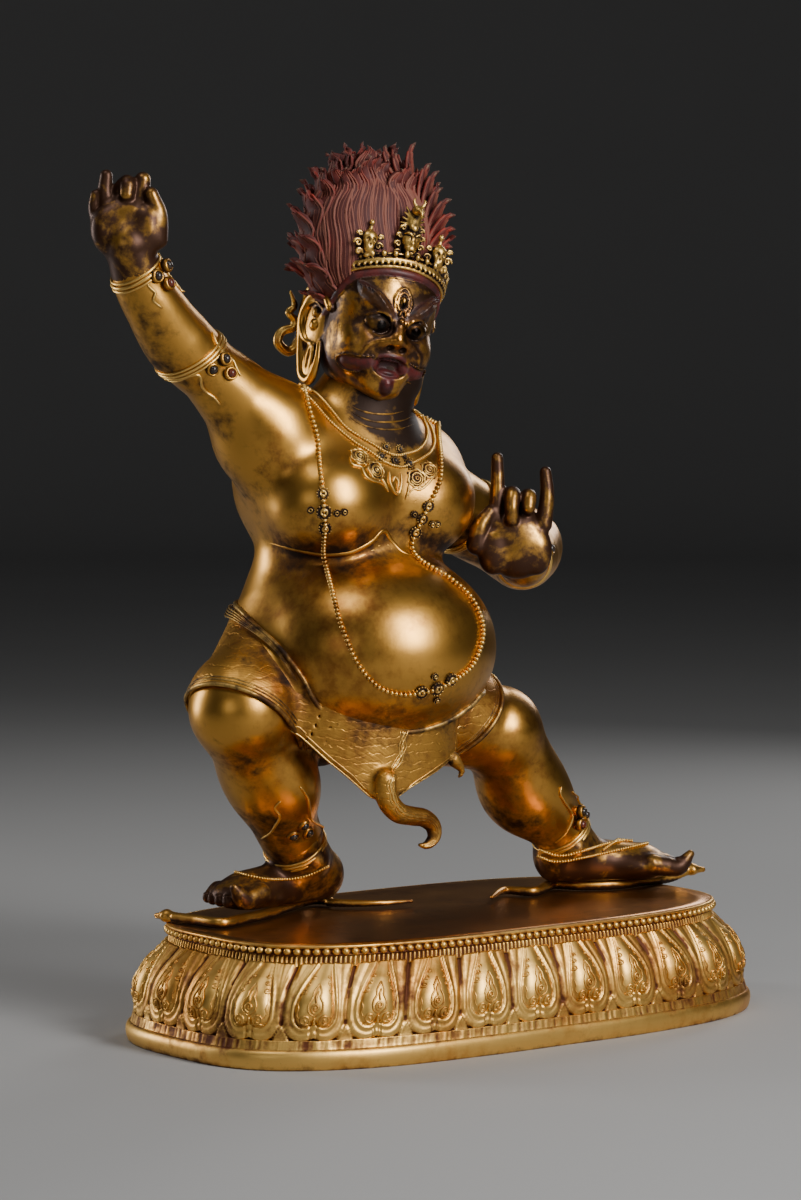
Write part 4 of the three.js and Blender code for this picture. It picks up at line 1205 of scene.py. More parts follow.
@dataclass
class Head:
    """The wrathful head, modelled upright and looking along -Y, then turned onto the neck."""

    step: float = 1.2
    centre: Point = (-61, 12.6, 541.4)
    turn: Point = (5, 11, -13)

    def __post_init__(self) -> None:
        """Keep the bare skull, because the brows, bands and lines are laid on it."""
        self.bare = Clay([*self.skull(), Ball(centre=(0, -38, -24), radii=(19, 9, 12), blend=5)])

    def onto_neck(self, points: Array) -> Array:
        """Points of the upright head, moved to where it sits."""
        return np.asarray(points, float) @ turn_matrix(self.turn).T + np.asarray(self.centre)

    def skull(self) -> list[Form]:
        """Cranium, full jaw, cheeks, chin and the brow's bulges."""
        forms: list[Form] = [
            Ball(centre=(0, 0, 2), radii=(42, 46, 48), blend=8),
            Ball(centre=(0, -11, 25), radii=(40, 31.5, 36), blend=8),
            Ball(centre=(0, -7, -20), radii=(39, 36, 30), blend=14),
            Ball(centre=(0, -33, -37), radii=(16, 11, 12), blend=8),
            Ball(centre=(0, -36, -8), radii=(12, 9, 20), blend=8),
        ]
        for side in (-1, 1):
            forms.append(Ball(centre=(side * 20.5, -27, -9), radii=(15.5, 15, 15.5), blend=8))
            forms.append(Ball(centre=(side * 15, -35, 21), radii=(14, 8, 7), turn=(0, side * -24, 0),
                              blend=6))
        return forms

    def on_skull(self, points: Sequence[Point], lift: float = 0.0) -> Array:
        """Points laid on the bare skull and cheeks, then lifted off them."""
        laid = self.bare.snap(np.asarray(points, float))
        return laid + self.bare.slope(laid) * lift

    def eyes(self) -> list[Form]:
        """Bulging eyes under heavy lids, and the upright third eye with its rings."""
        forms: list[Form] = []
        for side in (-1, 1):
            forms.append(Ball(centre=(side * 16.4, -45, 8), radii=(12, 6, 9.4), blend=4, role=Role.CUT))
            forms.append(Ball(centre=(side * 15.8, -38, 8.2), radii=(10.4, 8, 7.9), turn=(0, 0, side * 16),
                              blend=0.6, paint="eye"))
            forms.append(Ball(centre=(side * 14.6, -45.2, 7.2), radii=(3.5, 1.4, 3.6), blend=0.4,
                              paint="black"))
        upper = [(4.5, -43.5, 5.5), (8.5, -46, 13.4), (16, -44, 17), (24.5, -37.5, 13), (29.5, -31, 10)]
        fold = [(5.5, -43.5, 12.5), (12, -43.5, 19.5), (20, -39.5, 20.6), (29.5, -31, 15)]
        lower = [(4.5, -43.5, 5.5), (8.5, -45.4, 0.8), (16, -43.4, -0.9), (23.5, -38, 2.6), (29.5, -31, 10)]
        bag = [(8, -43, -4.4), (16, -41, -6.4), (25, -34.5, -2), (31, -27, 6)]
        for path, size in ((upper, 1.5), (lower, 1.15), (fold, 1.3), (bag, 1.5)):
            for side in both(path):
                forms.append(Roll(points=side, radii=[0.7 * size, size, size, 0.5 * size], spacing=2,
                                  blend=1.6))
        middle = self.on_skull([(0, -44, 27)])[0]
        forms.append(Ball(centre=middle, radii=(3.5, 2.6, 5.2), blend=0.5, paint="eye"))
        forms.append(Ball(centre=middle + [0, -2.2, -1.2], radii=(1.4, 0.9, 1.9), blend=0.3, paint="black"))
        for width, height, size in ((5, 7.4, 0.95), (7.3, 10.6, 0.8)):
            angles = np.linspace(0, 2 * np.pi, 14, endpoint=False)
            ring = [(width * np.cos(a), -44, 27.2 + height * np.sin(a) * (1 + 0.12 * (np.sin(a) > 0.9)))
                    for a in angles]
            forms.append(Roll(points=self.on_skull(ring, 0.5), radii=[size], spacing=2, closed=True,
                              blend=0.7))
        return forms

    def brows(self) -> list[Form]:
        """Thick flame brows with a twist of hair, and the knot of flesh between them."""
        forms: list[Form] = []
        path = [(4, -46, 14), (9, -45, 17.5), (18, -40, 23.5), (27, -30.5, 30.5), (32, -24, 37)]
        for side, row in zip((-1, 1), both(path)):
            laid = self.on_skull(row, -1.0)
            forms.append(Roll(points=laid, radii=[2, 4.2, 5.8, 5, 1], spacing=2.5, blend=1, paint="brow"))
            line = smooth_path(laid, 3.0)
            outward = self.bare.slope(line)
            for i, place in enumerate(line[1:-1]):
                size = 5.4 * np.sin(np.pi * (i + 1.6) / (len(line) + 0.6))
                up = np.array([side * 0.25, 0.0, 1.0])
                ends = [place + outward[i + 1] * size * 0.72 + up * size * k + [side * 2.2 * k, 0, 0]
                        for k in (-0.75, 0.0, 0.8)]
                ends[1] = ends[1] + outward[i + 1] * size * 0.3
                forms.append(Roll(points=ends, radii=[0.6, 1.15, 0.5], spacing=2, blend=0.5, paint="brow"))
        for size, height in ((2.6, 12.6), (1.3, 12.6)):
            forms.append(Ball(centre=(0, -47.2, height), radii=(size, size + 0.6, size), blend=0.7))
        for side in (-1, 1):
            forms.append(Roll(points=[(side * 4.6, -46, 13), (side * 4, -47, 8), (side * 1.2, -48, 5.6)],
                              radii=[1.1, 1.2, 0.8], spacing=2, blend=0.8))
            forms.append(Roll(points=[(side * 2.6, -47, 17), (side * 1.4, -47, 20.4)], radii=[1, 0.8],
                              spacing=2, blend=0.8))
        return forms

    def nose(self) -> list[Form]:
        """A broad nose with flared wings."""
        forms: list[Form] = [
            Roll(points=[(0, -42, 12), (0, -46, 5), (-0.6, -49, -2.5)], radii=[4.4, 5, 6.6], spacing=2,
                 blend=5),
        ]
        for side in (-1, 1):
            forms.append(Ball(centre=(side * 8.6, -44, -5), radii=(6.4, 6.4, 5.2), blend=5))
            wing = [(side * 12.6, -43, 0), (side * 14.4, -43, -5), (side * 11, -46, -9.6)]
            forms.append(Roll(points=wing, radii=[1, 1.5, 1.2], spacing=2, blend=1.2))
            forms.append(Ball(centre=(side * 5.4, -49, -8.8), radii=(2.6, 3.6, 2.2), blend=1.5,
                              role=Role.CUT))
            crease = [(side * 15, -41.5, -6), (side * 20, -38, -10), (side * 22, -35.5, -16)]
            forms.append(Roll(points=self.on_skull(crease, 0.2), radii=[0.9, 1.5, 0.7], spacing=2, blend=2))
        return forms

    def mouth(self) -> list[Form]:
        """The open mouth with lips, teeth and tongue, the moustache bands and the leaf of beard."""
        rim = [(15.5, -37.5, -20.5), (9.5, -44.5, -15.8), (0, -47, -14.6), (-9.5, -44.5, -15.8),
               (-15.5, -37.5, -20.5), (-14, -37.5, -27), (-8, -41.5, -31.4), (0, -43, -32.6),
               (8, -41.5, -31.4), (14, -37.5, -27)]
        beard = self.on_skull([(0, -43, -35.5), (0.6, -42.5, -39), (1, -40, -44)], -3)
        forms: list[Form] = [
            Ball(centre=(0, -38, -24), radii=(19, 9, 12), blend=5),
            Ball(centre=(0, -47, -23.4), radii=(15, 10, 8.4), blend=1.5, role=Role.CUT),
            Roll(points=rim, radii=[2, 1.7, 1.5, 1.7, 2, 2, 2.3, 2.5, 2.3, 2], spacing=2.5, closed=True,
                 blend=0.8, paint="red"),
            Ball(centre=(0, -38.5, -28), radii=(8.5, 6, 2.8), blend=1, paint="red"),
            Roll(points=beard, radii=[6.4, 5.4, 3], spacing=2, blend=0.8, paint="red"),
        ]
        for i in range(-3, 4):
            depth = -41.6 + 0.16 * i * i
            size = (1.3, 1.4, 2.8) if abs(i) == 3 else (1.35, 1.3, 1.7)
            forms.append(Ball(centre=(i * 2.75, depth, -17.6), radii=size, blend=0.4, paint="red"))
            forms.append(Ball(centre=(i * 2.5, depth + 3, -30.2), radii=(1.1, 1.1, 1.2), blend=0.4,
                              paint="red"))
        band = [(15, -39, -23), (21, -35, -24), (28.5, -27.5, -24)]
        edge = [(14, -41, -17.6), (22, -37, -17.4), (29, -29.6, -17.4), (34, -22, -24), (28, -27, -30.4),
                (21, -34, -30.6), (15, -38, -29)]
        jaw = [(39, -6, -12), (38, -14, -28), (28, -25, -40), (14, -33, -46.5), (0, -36, -48)]
        for row in both(band):
            laid = self.on_skull(row, -6.8)
            forms.append(Roll(points=laid, radii=[7.2, 8.2, 8.2], spacing=2.5, blend=0.5, paint="red"))
        for row in both(edge):
            laid = self.on_skull(row, 0.9)
            forms.append(Roll(points=laid, radii=[0.6, 0.8, 0.8, 0.8, 0.8, 0.7, 0.5], spacing=2.5, blend=0.5))
        for row in both(jaw):
            laid = self.on_skull(row, -4.6)
            forms.append(Roll(points=laid, radii=[3, 5, 6, 5.6, 5.4], spacing=3, blend=1, paint="beard"))
        return forms

    def hairline(self) -> list[Form]:
        """The raised band under the hair, with a fine edge line below it."""
        half = [(42, 2, 6), (42, -6, 18), (40.5, -14, 29), (33, -23, 41), (17, -33, 48)]
        arch = [*half, (0, -36.5, 50), *[(-x, y, z) for x, y, z in reversed(half)]]
        edge = [(0.965 * x, y * 1.02 - 1.2, z - 4.6) for x, y, z in arch]
        return [
            Roll(points=self.on_skull(arch, 0.0), radii=[3.4], spacing=3, blend=0.6, paint="red"),
            Roll(points=self.on_skull(edge, 0.2), radii=[0.8], spacing=3, blend=0.5),
        ]

    def ears(self) -> list[Form]:
        """Long ears with a rolled rim, a cupped middle and a slit lobe."""
        forms: list[Form] = []
        rim = [(43, -7, 12), (45, 4, 21), (48.5, 19, 17), (50, 26, 0), (48.5, 22, -18), (47.5, 17, -32),
               (46, 11, -44), (44.5, 0, -45), (44, -5, -30), (44, -2, -16)]
        inner = [(44.5, 2, 10), (47.5, 12, 15), (50.5, 22, 9), (51, 24, -3), (49, 17, -15), (45.5, 8, -18)]
        for side, row, middle in zip((-1, 1), both(rim), both(inner)):
            forms.append(Ball(centre=(side * 44, 12, -2), radii=(4.4, 17, 22), turn=(0, 0, side * -12),
                              blend=2))
            forms.append(Roll(points=row, radii=[3.4, 4, 4.4, 4.4, 4.2, 4.2, 4.4, 3.8, 2.8, 2], spacing=3,
                              blend=1.4))
            forms.append(Roll(points=middle, radii=[1.6, 2.4, 2.6, 2.6, 2.2, 1.4], spacing=3, blend=1.4))
            forms.append(Ball(centre=(side * 46, 8, -31), radii=(2.6, 9.5, 14), blend=1.5))
            forms.append(Ball(centre=(side * 48.4, 5, -29), radii=(2, 1.8, 11), blend=1, role=Role.CUT))
            for height in (6.5, -3.5):
                forms.append(Ball(centre=(side * 47.6, 8.5, height), radii=(2.6, 3.8, 4.2), blend=1.2))
        return forms

    def build(self, shop: Workshop) -> None:
        """Skin the clay, paint it and hand it over."""
        under = Side(point=(0, 0, -60), outward=(0, 0, -1), role=Role.KEEP, blend=1)
        clay = Clay([*self.skull(), *self.nose(), *self.eyes(), *self.brows(), *self.mouth(),
                     *self.hairline(), *self.ears(), under])
        skin = clay.skin(self.step)
        near = {paint: ramp(0.75, 0.25, clay.near(skin.points, paint))
                for paint in ("red", "eye", "black", "brow", "beard")}
        x, y, z = skin.points.T
        in_mouth = (np.hypot(x / 13, (z + 24) / 8) < 1) & (y < -30)
        # The inside of the mouth behind the lips: painted red as its pigment, and darkened with half black as
        # painted shade inside the mouth.
        gums = ramp(0.2, 0.8, ramp(-39.5, -37, y) * in_mouth)
        temples, ears, forehead = ramp(20, 42, np.abs(x)), ramp(42.5, 44.5, np.abs(x)), ramp(30, 44, z)
        paints = {
            # The hollow value paints shade and patina into the face's recesses.
            "hollow": clay.hollows(skin, (2.0, 5.0, 11.0)),
            "red": np.maximum.reduce([near["red"], near["brow"] * 0.75, near["beard"] * 0.5, gums]),
            "black": np.maximum(near["black"], near["eye"] * 0.6) + near["brow"] * 0.6 + gums * 0.5,
            # Darker at the temples and on the forehead, lighter on the ears.
            "grime": 0.2 * temples - 0.5 * ears + 0.1 * forehead,
        }
        skin.points = self.onto_neck(skin.points)
        shop.cover("head", skin, paints, Finish.FACE)


@dataclass
class Hand:
    """A plump hand: palm, heel of the thumb and five fingers with their nails."""

    name: str
    palm: Point
    palm_radii: Point
    palm_turn: Point
    pads: Sequence[tuple[Point, Point]]
    wrist: tuple[Point, Point, float, float]
    fingers: Sequence[tuple[Sequence[Point], Sequence[float]]]
    facing: Point
    step: float = 1.35

    def build(self, shop: Workshop) -> None:
        """Skin the hand and hand it over."""
        start, end, thick, thin = self.wrist
        forms: list[Form] = [
            Limb(start=start, end=end, start_radius=thick, end_radius=thin, blend=5),
            Ball(centre=self.palm, radii=self.palm_radii, turn=self.palm_turn, blend=8),
            *[Ball(centre=place, radii=size, turn=self.palm_turn, blend=4) for place, size in self.pads],
        ]
        front = unit(np.asarray(self.facing, float))
        nails: list[Form] = []
        for points, radii in self.fingers:
            forms.append(Roll(points=points, radii=radii, spacing=2.2, blend=2.6))
            tip, before = np.asarray(points[-1], float), np.asarray(points[-2], float)
            reach = unit(tip - before)
            back = unit(-front - reach * (-front @ reach))
            size = radii[-1]
            nails.append(Ball(centre=tip + back * size * 0.72 + reach * size * 0.1,
                              radii=(size * 0.62, size * 0.62, size * 0.95), blend=0.5))
        clay = Clay([*forms, *nails])
        skin = clay.skin(self.step)
        # Lighter where the skin faces the palm's way and darker where it turns away; the hollow value paints
        # shade and patina into the hand's recesses.
        shading_and_wear = (skin.normals @ front) * 0.22
        paints = {"hollow": clay.hollows(skin, (2.0, 5.0, 11.0)), "grime": 0.1 - shading_and_wear}
        shop.cover(self.name, skin, paints, Finish.DARK)


RIGHT_HAND = Hand(
    name="right_hand", palm=(-281, 25, 619), palm_radii=(25.5, 12.5, 24), palm_turn=(0, 0, -37),
    pads=[((-295, 29, 617), (12, 9, 17)), ((-272, 11, 617), (12, 10, 19))],
    wrist=((-272, 25, 588), (-281, 22, 606), 20.0, 17.5), facing=(-0.55, -0.8, 0.1),
    fingers=[
        ([(-296, 37, 620), (-299, 40, 633), (-298, 40, 643)], [6.2, 4.8, 3.8]),
        ([(-290, 32, 624), (-292, 36, 643), (-291, 36, 657)], [7, 6, 4.8]),
        ([(-283, 29, 628), (-282, 30, 645), (-280, 26, 651), (-282, 21, 650), (-284, 19, 643)],
         [7, 6.4, 6.6, 6.4, 5.4]),
        ([(-273, 21, 626), (-271, 20, 643), (-270, 19, 654)], [8, 7.4, 6]),
        ([(-265, 9, 610), (-264, 8, 628), (-269, 9, 643)], [9, 7.2, 5.4]),
    ])

LEFT_HAND = Hand(
    name="left_hand", palm=(40, -36, 377), palm_radii=(27, 12.5, 26), palm_turn=(0, 0, -37),
    pads=[((24, -29, 371), (12.5, 10, 18)), ((54, -47, 371), (11, 8.5, 18))],
    wrist=((64, -18, 364), (50, -30, 367), 22.0, 18.0), facing=(-0.6, -0.8, 0.0),
    fingers=[
        ([(28, -27, 394), (30, -27, 418), (31, -25, 444)], [7.2, 5.8, 4.6]),
        ([(37, -30, 396), (38, -31, 412), (36, -38, 416), (32, -42, 407), (32, -42, 396)],
         [7.4, 7, 6.4, 5.8, 5]),
        ([(48, -39, 396), (49, -39, 411), (46, -46, 414), (43, -49, 406)], [7.4, 7, 6.2, 5.4]),
        ([(58, -49, 392), (61, -50, 415), (61, -48, 433)], [7, 5.8, 4.6]),
        ([(13, -22, 376), (15, -24, 391), (22, -27, 402)], [8.4, 7.2, 5.2]),
    ])


@dataclass
class Foot:
    """A broad bare foot, its big toe turned up at the inner side."""

    name: str
    heel: tuple[float, float]
    ball: tuple[float, float]
    ankle: Point
    shin: Point
    heading: float
    inner: float
    reach: Sequence[float]
    sole: float = 97.5
    step: float = 1.6

    def build(self, shop: Workshop) -> None:
        """Skin the foot and hand it over."""
        low = self.sole + 13
        forward = np.array([np.cos(np.radians(self.heading)), np.sin(np.radians(self.heading))])
        inward = np.array([forward[1], -forward[0]]) * self.inner
        forms: list[Form] = [
            Limb(start=self.shin, end=self.ankle, start_radius=23.4, end_radius=22.6, blend=8),
            Limb(start=(*self.heel, low + 5), end=(*self.ball, low), start_radius=20, end_radius=16,
                 blend=10),
            Limb(start=self.ankle, end=(*self.heel, low + 9), start_radius=22.5, end_radius=19.5, blend=10),
            Ball(centre=(*self.ball, low - 1), radii=(28, 26, 12.5), turn=(0, 0, self.heading), blend=8),
        ]
        for side in (-1, 1):
            knuckle = np.asarray(self.ankle) + np.array([*(inward * 19 * side), -2])
            forms.append(Ball(centre=knuckle, radii=(9, 9, 9), blend=7))
        for i, reach in enumerate(self.reach):
            side = 20.5 - 10.4 * i
            size = 8.2 if i == 0 else 6.0 - 0.35 * i
            base = np.asarray(self.ball) + inward * side
            joint, tip = base + forward * reach * 0.55, base + forward * reach
            rise = 4.5 if i == 0 else 3.4
            path = [(*(base + forward * 4), low + 1), (*joint, low + rise - 1), (*tip, low - 7 + size * 0.5)]
            if i == 0:
                beyond = base + forward * (reach + 10)
                path = [path[0], (*joint, low - 1), (*tip, low - 2), (*beyond, low + 8)]
            sizes = [size, size * 1.02, size * 0.94] if i else [size, size, size * 0.85, 3.4]
            forms.append(Roll(points=path, radii=sizes, spacing=2.5, blend=2))
            nail = np.array([*(tip + forward * size * 0.25), path[-1 if i else 2][2] + size * 0.66])
            forms.append(Ball(centre=nail, radii=(size * 0.72, size * 0.6, size * 0.34),
                              turn=(0, 12, self.heading), blend=0.4))
        forms.append(Side(point=(0, 0, self.sole), outward=(0, 0, -1), role=Role.KEEP, blend=2.5))
        self.clay = Clay(forms)
        skin = self.clay.skin(self.step)
        # Darker towards the sole; the hollow value paints shade and patina into the foot's recesses.
        grime = 0.16 + 0.14 * ramp(low + 16, low - 6, skin.points[:, 2])
        paints = {"hollow": self.clay.hollows(skin, (2.5, 6.0, 14.0)), "grime": grime}
        shop.cover(self.name, skin, paints, Finish.FOOT)


RIGHT_FOOT = Foot("right_foot", (-84, 58), (-158, 49), (-107, 49, 134), (-118, 42, 150), 188, -1,
                  (21, 27, 26, 24, 20))
LEFT_FOOT = Foot("left_foot", (134, 22), (197, -3), (141, 20, 128), (131, 19, 141), -20, 1,
                 (27, 32, 30, 27, 22))


@dataclass
class Plinth:
    """The oval lotus plinth: foot, hatched fillet, one ring of petals, fluted band, beaded rim and plate."""

    half_length: float = 230.0
    half_width: float = 124.3
    flare: tuple[float, float] = (30.0, 16.8)
    power: float = 3.162
    plate_top: float = 88.9
    petals: int = 28
    first: float = 0.625
    petal_half: Sequence[tuple[float, float]] = (
        (0, 2.6), (4, 1.2), (10, 0.3), (16, 2.2), (20.6, 7), (23, 13.5), (23.7, 22), (23.6, 31), (23.3, 40),
        (22.8, 49), (22.4, 58), (22.2, 72))
    panel_half: Sequence[tuple[float, float]] = (
        (0, 13.8), (2.4, 11.4), (6.5, 9.6), (11, 10.6), (14.6, 14.6), (16, 21), (15.6, 28), (13.8, 36),
        (11.4, 44), (8.6, 52), (6.2, 60), (4.6, 72))
    wall_line: Sequence[tuple[float, float]] = (
        (21, 0.9), (24, 0.88), (28, 0.88), (32, 0.86), (36, 0.84), (40, 0.81), (44, 0.785), (48, 0.745),
        (52, 0.685), (56, 0.605), (60, 0.51), (64, 0.4), (68, 0.27), (72, 0.14), (76, 0))
    flutes: int = 327
    beads: int = 166
    cuts: int = 1120
    twists: int = 756

    def __post_init__(self) -> None:
        """Measure the ring once, so that petals are evenly spaced round it."""
        self.turns = np.linspace(0, 2 * np.pi, 2881)
        ring = self.oval(self.turns, 0.85)
        self.lengths = np.concatenate([[0], np.cumsum(np.linalg.norm(np.diff(ring, axis=0), axis=1))])
        self.round = self.lengths[-1]
        self.pitch = self.round / self.petals
        levels, spreads = np.array(self.wall_line, float).T
        self.levels = np.linspace(levels[0], levels[-1], 60)
        self.spreads = np.interp(self.levels, levels, spreads)
        rise = np.hypot(np.diff(self.levels), np.diff(self.spreads) * self.flare[0] * 0.8)
        self.heights = np.concatenate([[0], np.cumsum(rise)])

    def oval(self, turns: Array, spread: Array | float) -> Array:
        """Level points round the plinth, further out as the spread grows."""
        c, s = np.cos(turns), np.sin(turns)
        size = (np.abs(c) ** self.power + np.abs(s) ** self.power) ** (-1 / self.power)
        length = self.half_length + self.flare[0] * spread
        width = self.half_width + self.flare[1] * spread
        return np.stack([length * size * c, width * size * s], -1)

    def turns_at(self, shares: Array) -> Array:
        """The turns at shares of the way round."""
        return np.interp(np.mod(shares, 1) * self.round, self.lengths, self.turns)

    def outwards(self, turns: Array) -> Array:
        """The level way out at turns."""
        ahead = self.oval(turns + 0.004, 0.8) - self.oval(turns - 0.004, 0.8)
        return unit(np.stack([ahead[..., 1], -ahead[..., 0]], -1))

    def ring(self, columns: int, level: float, spread: float, out: Array | float = 0.0) -> Array:
        """A ring of points at one level, each pushed out by its own amount."""
        turns = self.turns_at(np.arange(columns) / columns)
        flat = self.oval(turns, spread) + self.outwards(turns) * np.broadcast_to(out, (columns,))[:, None]
        return np.concatenate([flat, np.full((columns, 1), level)], 1)

    def share_of(self, petal: int, across: Array) -> Array:
        """The share of the way round that lies across a petal from its middle."""
        return (petal + self.first) / self.petals + across / self.round

    def wall(self, share: Array, up: Array, out: Array) -> Array:
        """Points on the petal wall, by the share of the way round, the way up it and the height off it."""
        turns = self.turns_at(share)
        level = np.interp(up, self.heights, self.levels)
        spread = np.interp(up, self.heights, self.spreads)
        lean = np.gradient(self.spreads * self.flare[0] * 0.8, self.levels)
        tilt = np.interp(up, self.heights, -lean)
        rise = tilt / np.hypot(1, tilt)
        way = self.outwards(turns) * (out * np.sqrt(1 - rise * rise))[..., None]
        flat = self.oval(turns, spread) + way
        return np.concatenate([flat, (level + out * rise)[..., None]], -1)

    @staticmethod
    def mirrored(half: Sequence[tuple[float, float]]) -> Array:
        """A closed outline across and up, from the points of its right half."""
        line = smooth_path([(x, 0, y) for x, y in half], 1.6)[:, [0, 2]]
        line[:, 0] = np.maximum(line[:, 0], 0)
        return np.concatenate([line, (line * [-1, 1])[::-1][:-1]])

    def relief(self, across: Array, up: Array) -> Array:
        """How far the petal stands out at points across and up it.

        The petal has a wide flat border with fine lines, a bulging two-lobed panel inside it and a
        small tab at the foot; a flat triangular tip shows between it and the next one.
        """
        points = np.stack([across, up], -1)
        inside = -outline_distance(points, self.mirrored(self.petal_half))
        within = -outline_distance(points, self.mirrored(self.panel_half))
        share = np.clip(inside, 0, None) / np.maximum(inside - np.minimum(within, -0.01), 0.01)
        border = ramp(-0.3, 1.0, inside) * 1.6 - 0.6 * share
        lines = -np.exp(-((inside - 1.7) / 0.42) ** 2) * 0.7 - np.exp(-((share - 0.62) / 0.09) ** 2) * 0.55
        rim = np.exp(-((within + 0.5) / 0.75) ** 2) * 1.3 - np.exp(-((within - 1.1) / 0.7) ** 2) * 1.3
        panel = 4.2 * (1 - np.exp(-np.clip(within - 1.4, 0, None) / 4.4)) * ramp(66, 26, up)
        edge = ramp(15, 12, up) * ramp(-0.4, 0.6, inside)
        tab = -np.exp(-((np.abs(across) - 2.5) / 0.6) ** 2) * 1.7 - ramp(2.6, 2.0, np.abs(across)) * 0.5
        crown = 1.9 * (1 - (across / 24.3) ** 2)
        away = self.pitch / 2 - np.abs(across)
        tip = ramp(0.7, -0.7, away - 7.0 * (1 - up / 13)) * ramp(13, 11, up)
        gap = -4.2 + tip * 3.6
        leaf = border + np.where(within < 0, lines, 0) + rim + panel + tab * edge + crown - 2.4
        return np.where(inside > -0.3, leaf, gap + ramp(-2.5, -0.3, inside) * 1.2)

    def build_petals(self, shop: Workshop) -> None:
        """The ring of petals, the same relief laid round the wall again and again."""
        across_count, rows = 44, 50
        u = (np.arange(across_count) + 0.5) / across_count * 2 - 1
        across = (0.9 * u + 0.1 * u ** 3) * self.pitch / 2
        t = np.linspace(0, 1, rows)
        up = self.heights[-1] * (0.8 * t + 0.2 * t * t)
        grid_x, grid_y = np.meshgrid(across, up)
        relief = self.relief(grid_x, grid_y)
        # Painted shade and patina: darker the further the relief sinks, darker still in the gaps between
        # petals; the wall behind them is painted fully dark as shade.
        low = relief < -3
        hollow = np.clip(0.3 - relief * 0.12, 0, 1) + low * 0.3
        shares = np.concatenate([self.share_of(i, across) for i in range(self.petals)])
        relief, hollow = np.tile(relief, (1, self.petals)), np.tile(hollow, (1, self.petals))
        outer = self.wall(*np.broadcast_arrays(shares[None, :], up[:, None]), relief)
        flat = np.ones(len(shares))
        back = [self.wall(shares, flat * up[row], flat * -11.0) for row in (-1, 0)]
        points = np.concatenate([outer.reshape(-1, 3), *back])
        painted = np.concatenate([hollow.ravel(), np.ones(2 * len(shares))])
        shape = Shape()
        shape.add(points, ring_faces(rows + 2, len(shares), closed_rows=True), paints={"hollow": painted})
        shop.cast("lotus_petals", shape, Finish.PLINTH)

    def scroll_lines(self) -> list[tuple[list[Point], float]]:
        """The scrollwork of one petal as lines across and up it, with their radii."""
        lines: list[tuple[list[Point], float]] = []
        for side in (-1, 1):
            large = [(side * (7.6 - a), 15.4 + b) for a, b in spiral(-2.4, 8.6, 4.9, 0.5, 26)]
            lines.append(([(side * 1.6, 13.2), *large], 0.95))
            lines.append(([(side * 11.6, 17), (side * 13.2, 20.5), (side * 12.2, 24), (side * 13, 28)], 0.6))
            for x, y, size in ((10.2, 37, 2.4), (8.2, 43, 2.0), (6.2, 48.5, 1.7)):
                small = [(side * (x - a), y + b) for a, b in spiral(-2.6, 5.2, size, 0.5, 12)]
                lines.append((small, 0.65))
            lines.append(([(side * 0.6, 18.6), (side * 4.8, 22), (side * 5.2, 27), (side * 2.6, 32),
                           (side * 2.9, 35.5), (0, 42)], 0.85))
        lines.append(([(-a, 24.4 + b) for a, b in spiral(-1.5, 8.2, 3.4, 0.5, 24)], 0.95))
        lines.append(([(0, 28), (-0.5, 32), (0.4, 36)], 1.0))
        lines.append(([(0, 12.6), (0, 15), (0, 17.4)], 1.5))
        return lines

    def build_scrolls(self, shop: Workshop) -> None:
        """Raised scrolls and flames on every petal."""
        shape = Shape()
        for flat, radius in self.scroll_lines():
            line = smooth_path([(x, 0, y) for x, y in flat], 1.5)
            across, up = line[:, 0], line[:, 2]
            off = self.relief(across, up)
            taper = radius * (0.55 + 0.45 * np.sin(np.pi * np.linspace(0.12, 0.9, len(line))))
            for i in range(self.petals):
                share = self.share_of(i, across)
                middle = self.wall(share, up, off + radius * 0.25)
                above = self.wall(share, up, off + radius * 0.25 + 1)
                points, quads, caps = tube(middle, taper, above - middle, sides=4)
                shape.add(points, quads, caps, {"hollow": np.full(len(points), 0.3)})
        shop.cast("petal_scrolls", shape, Finish.PLINTH)

    def build_base(self, shop: Workshop) -> None:
        """The foot flange, the wall behind the petals and the moulding that carries the plate."""
        # Each row gives a height, a spread, a push out and the hollow value, which paints shade and patina:
        # dark on the wall behind the petals and in the mouldings' recesses.
        profile = [(0, 0.9, -3, 0.7), (0, 1.0, 0, 0.5), (1.2, 1.04, 0, 0.35), (4, 1.075, 0, 0.2),
                   (8, 1.1, 0, 0.15), (11.5, 1.085, 0, 0.2), (13.8, 1.04, 0, 0.3), (15, 0.98, 0, 0.5),
                   (15.4, 0.93, 0, 0.8), (21.5, 0.87, -1, 0.8), (22.5, 0.8, -4, 1), (40, 0.74, -6, 1),
                   (60, 0.42, -7, 1), (72, 0.02, -5, 1), (73.4, -0.1, -3, 1), (81, -0.14, -3, 0.9),
                   (81.2, -0.02, 0, 0.8), (82, 0.02, 0.4, 0.7), (82.4, -0.05, 0, 0.8), (86.4, -0.05, 0, 0.7),
                   (86.8, 0.0, 0.2, 0.4), (88.3, 0.0, 0.2, 0.3), (88.9, -0.02, 0, 0.3), (88.9, -0.06, 0, 0.4)]
        columns = 448
        turns = 2 * np.pi * np.arange(columns) / columns
        wobble = 0.5 * np.sin(turns * 9) * np.sin(turns * 4 + 1)
        rings = [self.ring(columns, z, spread, out + (wobble if z < 15 else 0))
                 for z, spread, out, _ in profile]
        points = np.concatenate([*rings, [[0, 0, 0]], [[0, 0, self.plate_top - 1.5]]])
        hollow = np.concatenate([*[np.full(columns, row[3]) for row in profile], [1, 0.4]])
        shape = Shape()
        shape.add(points, ring_faces(len(rings), columns), end_caps(len(rings), columns), {"hollow": hollow})
        shop.cast("plinth_base", shape, Finish.PLINTH)

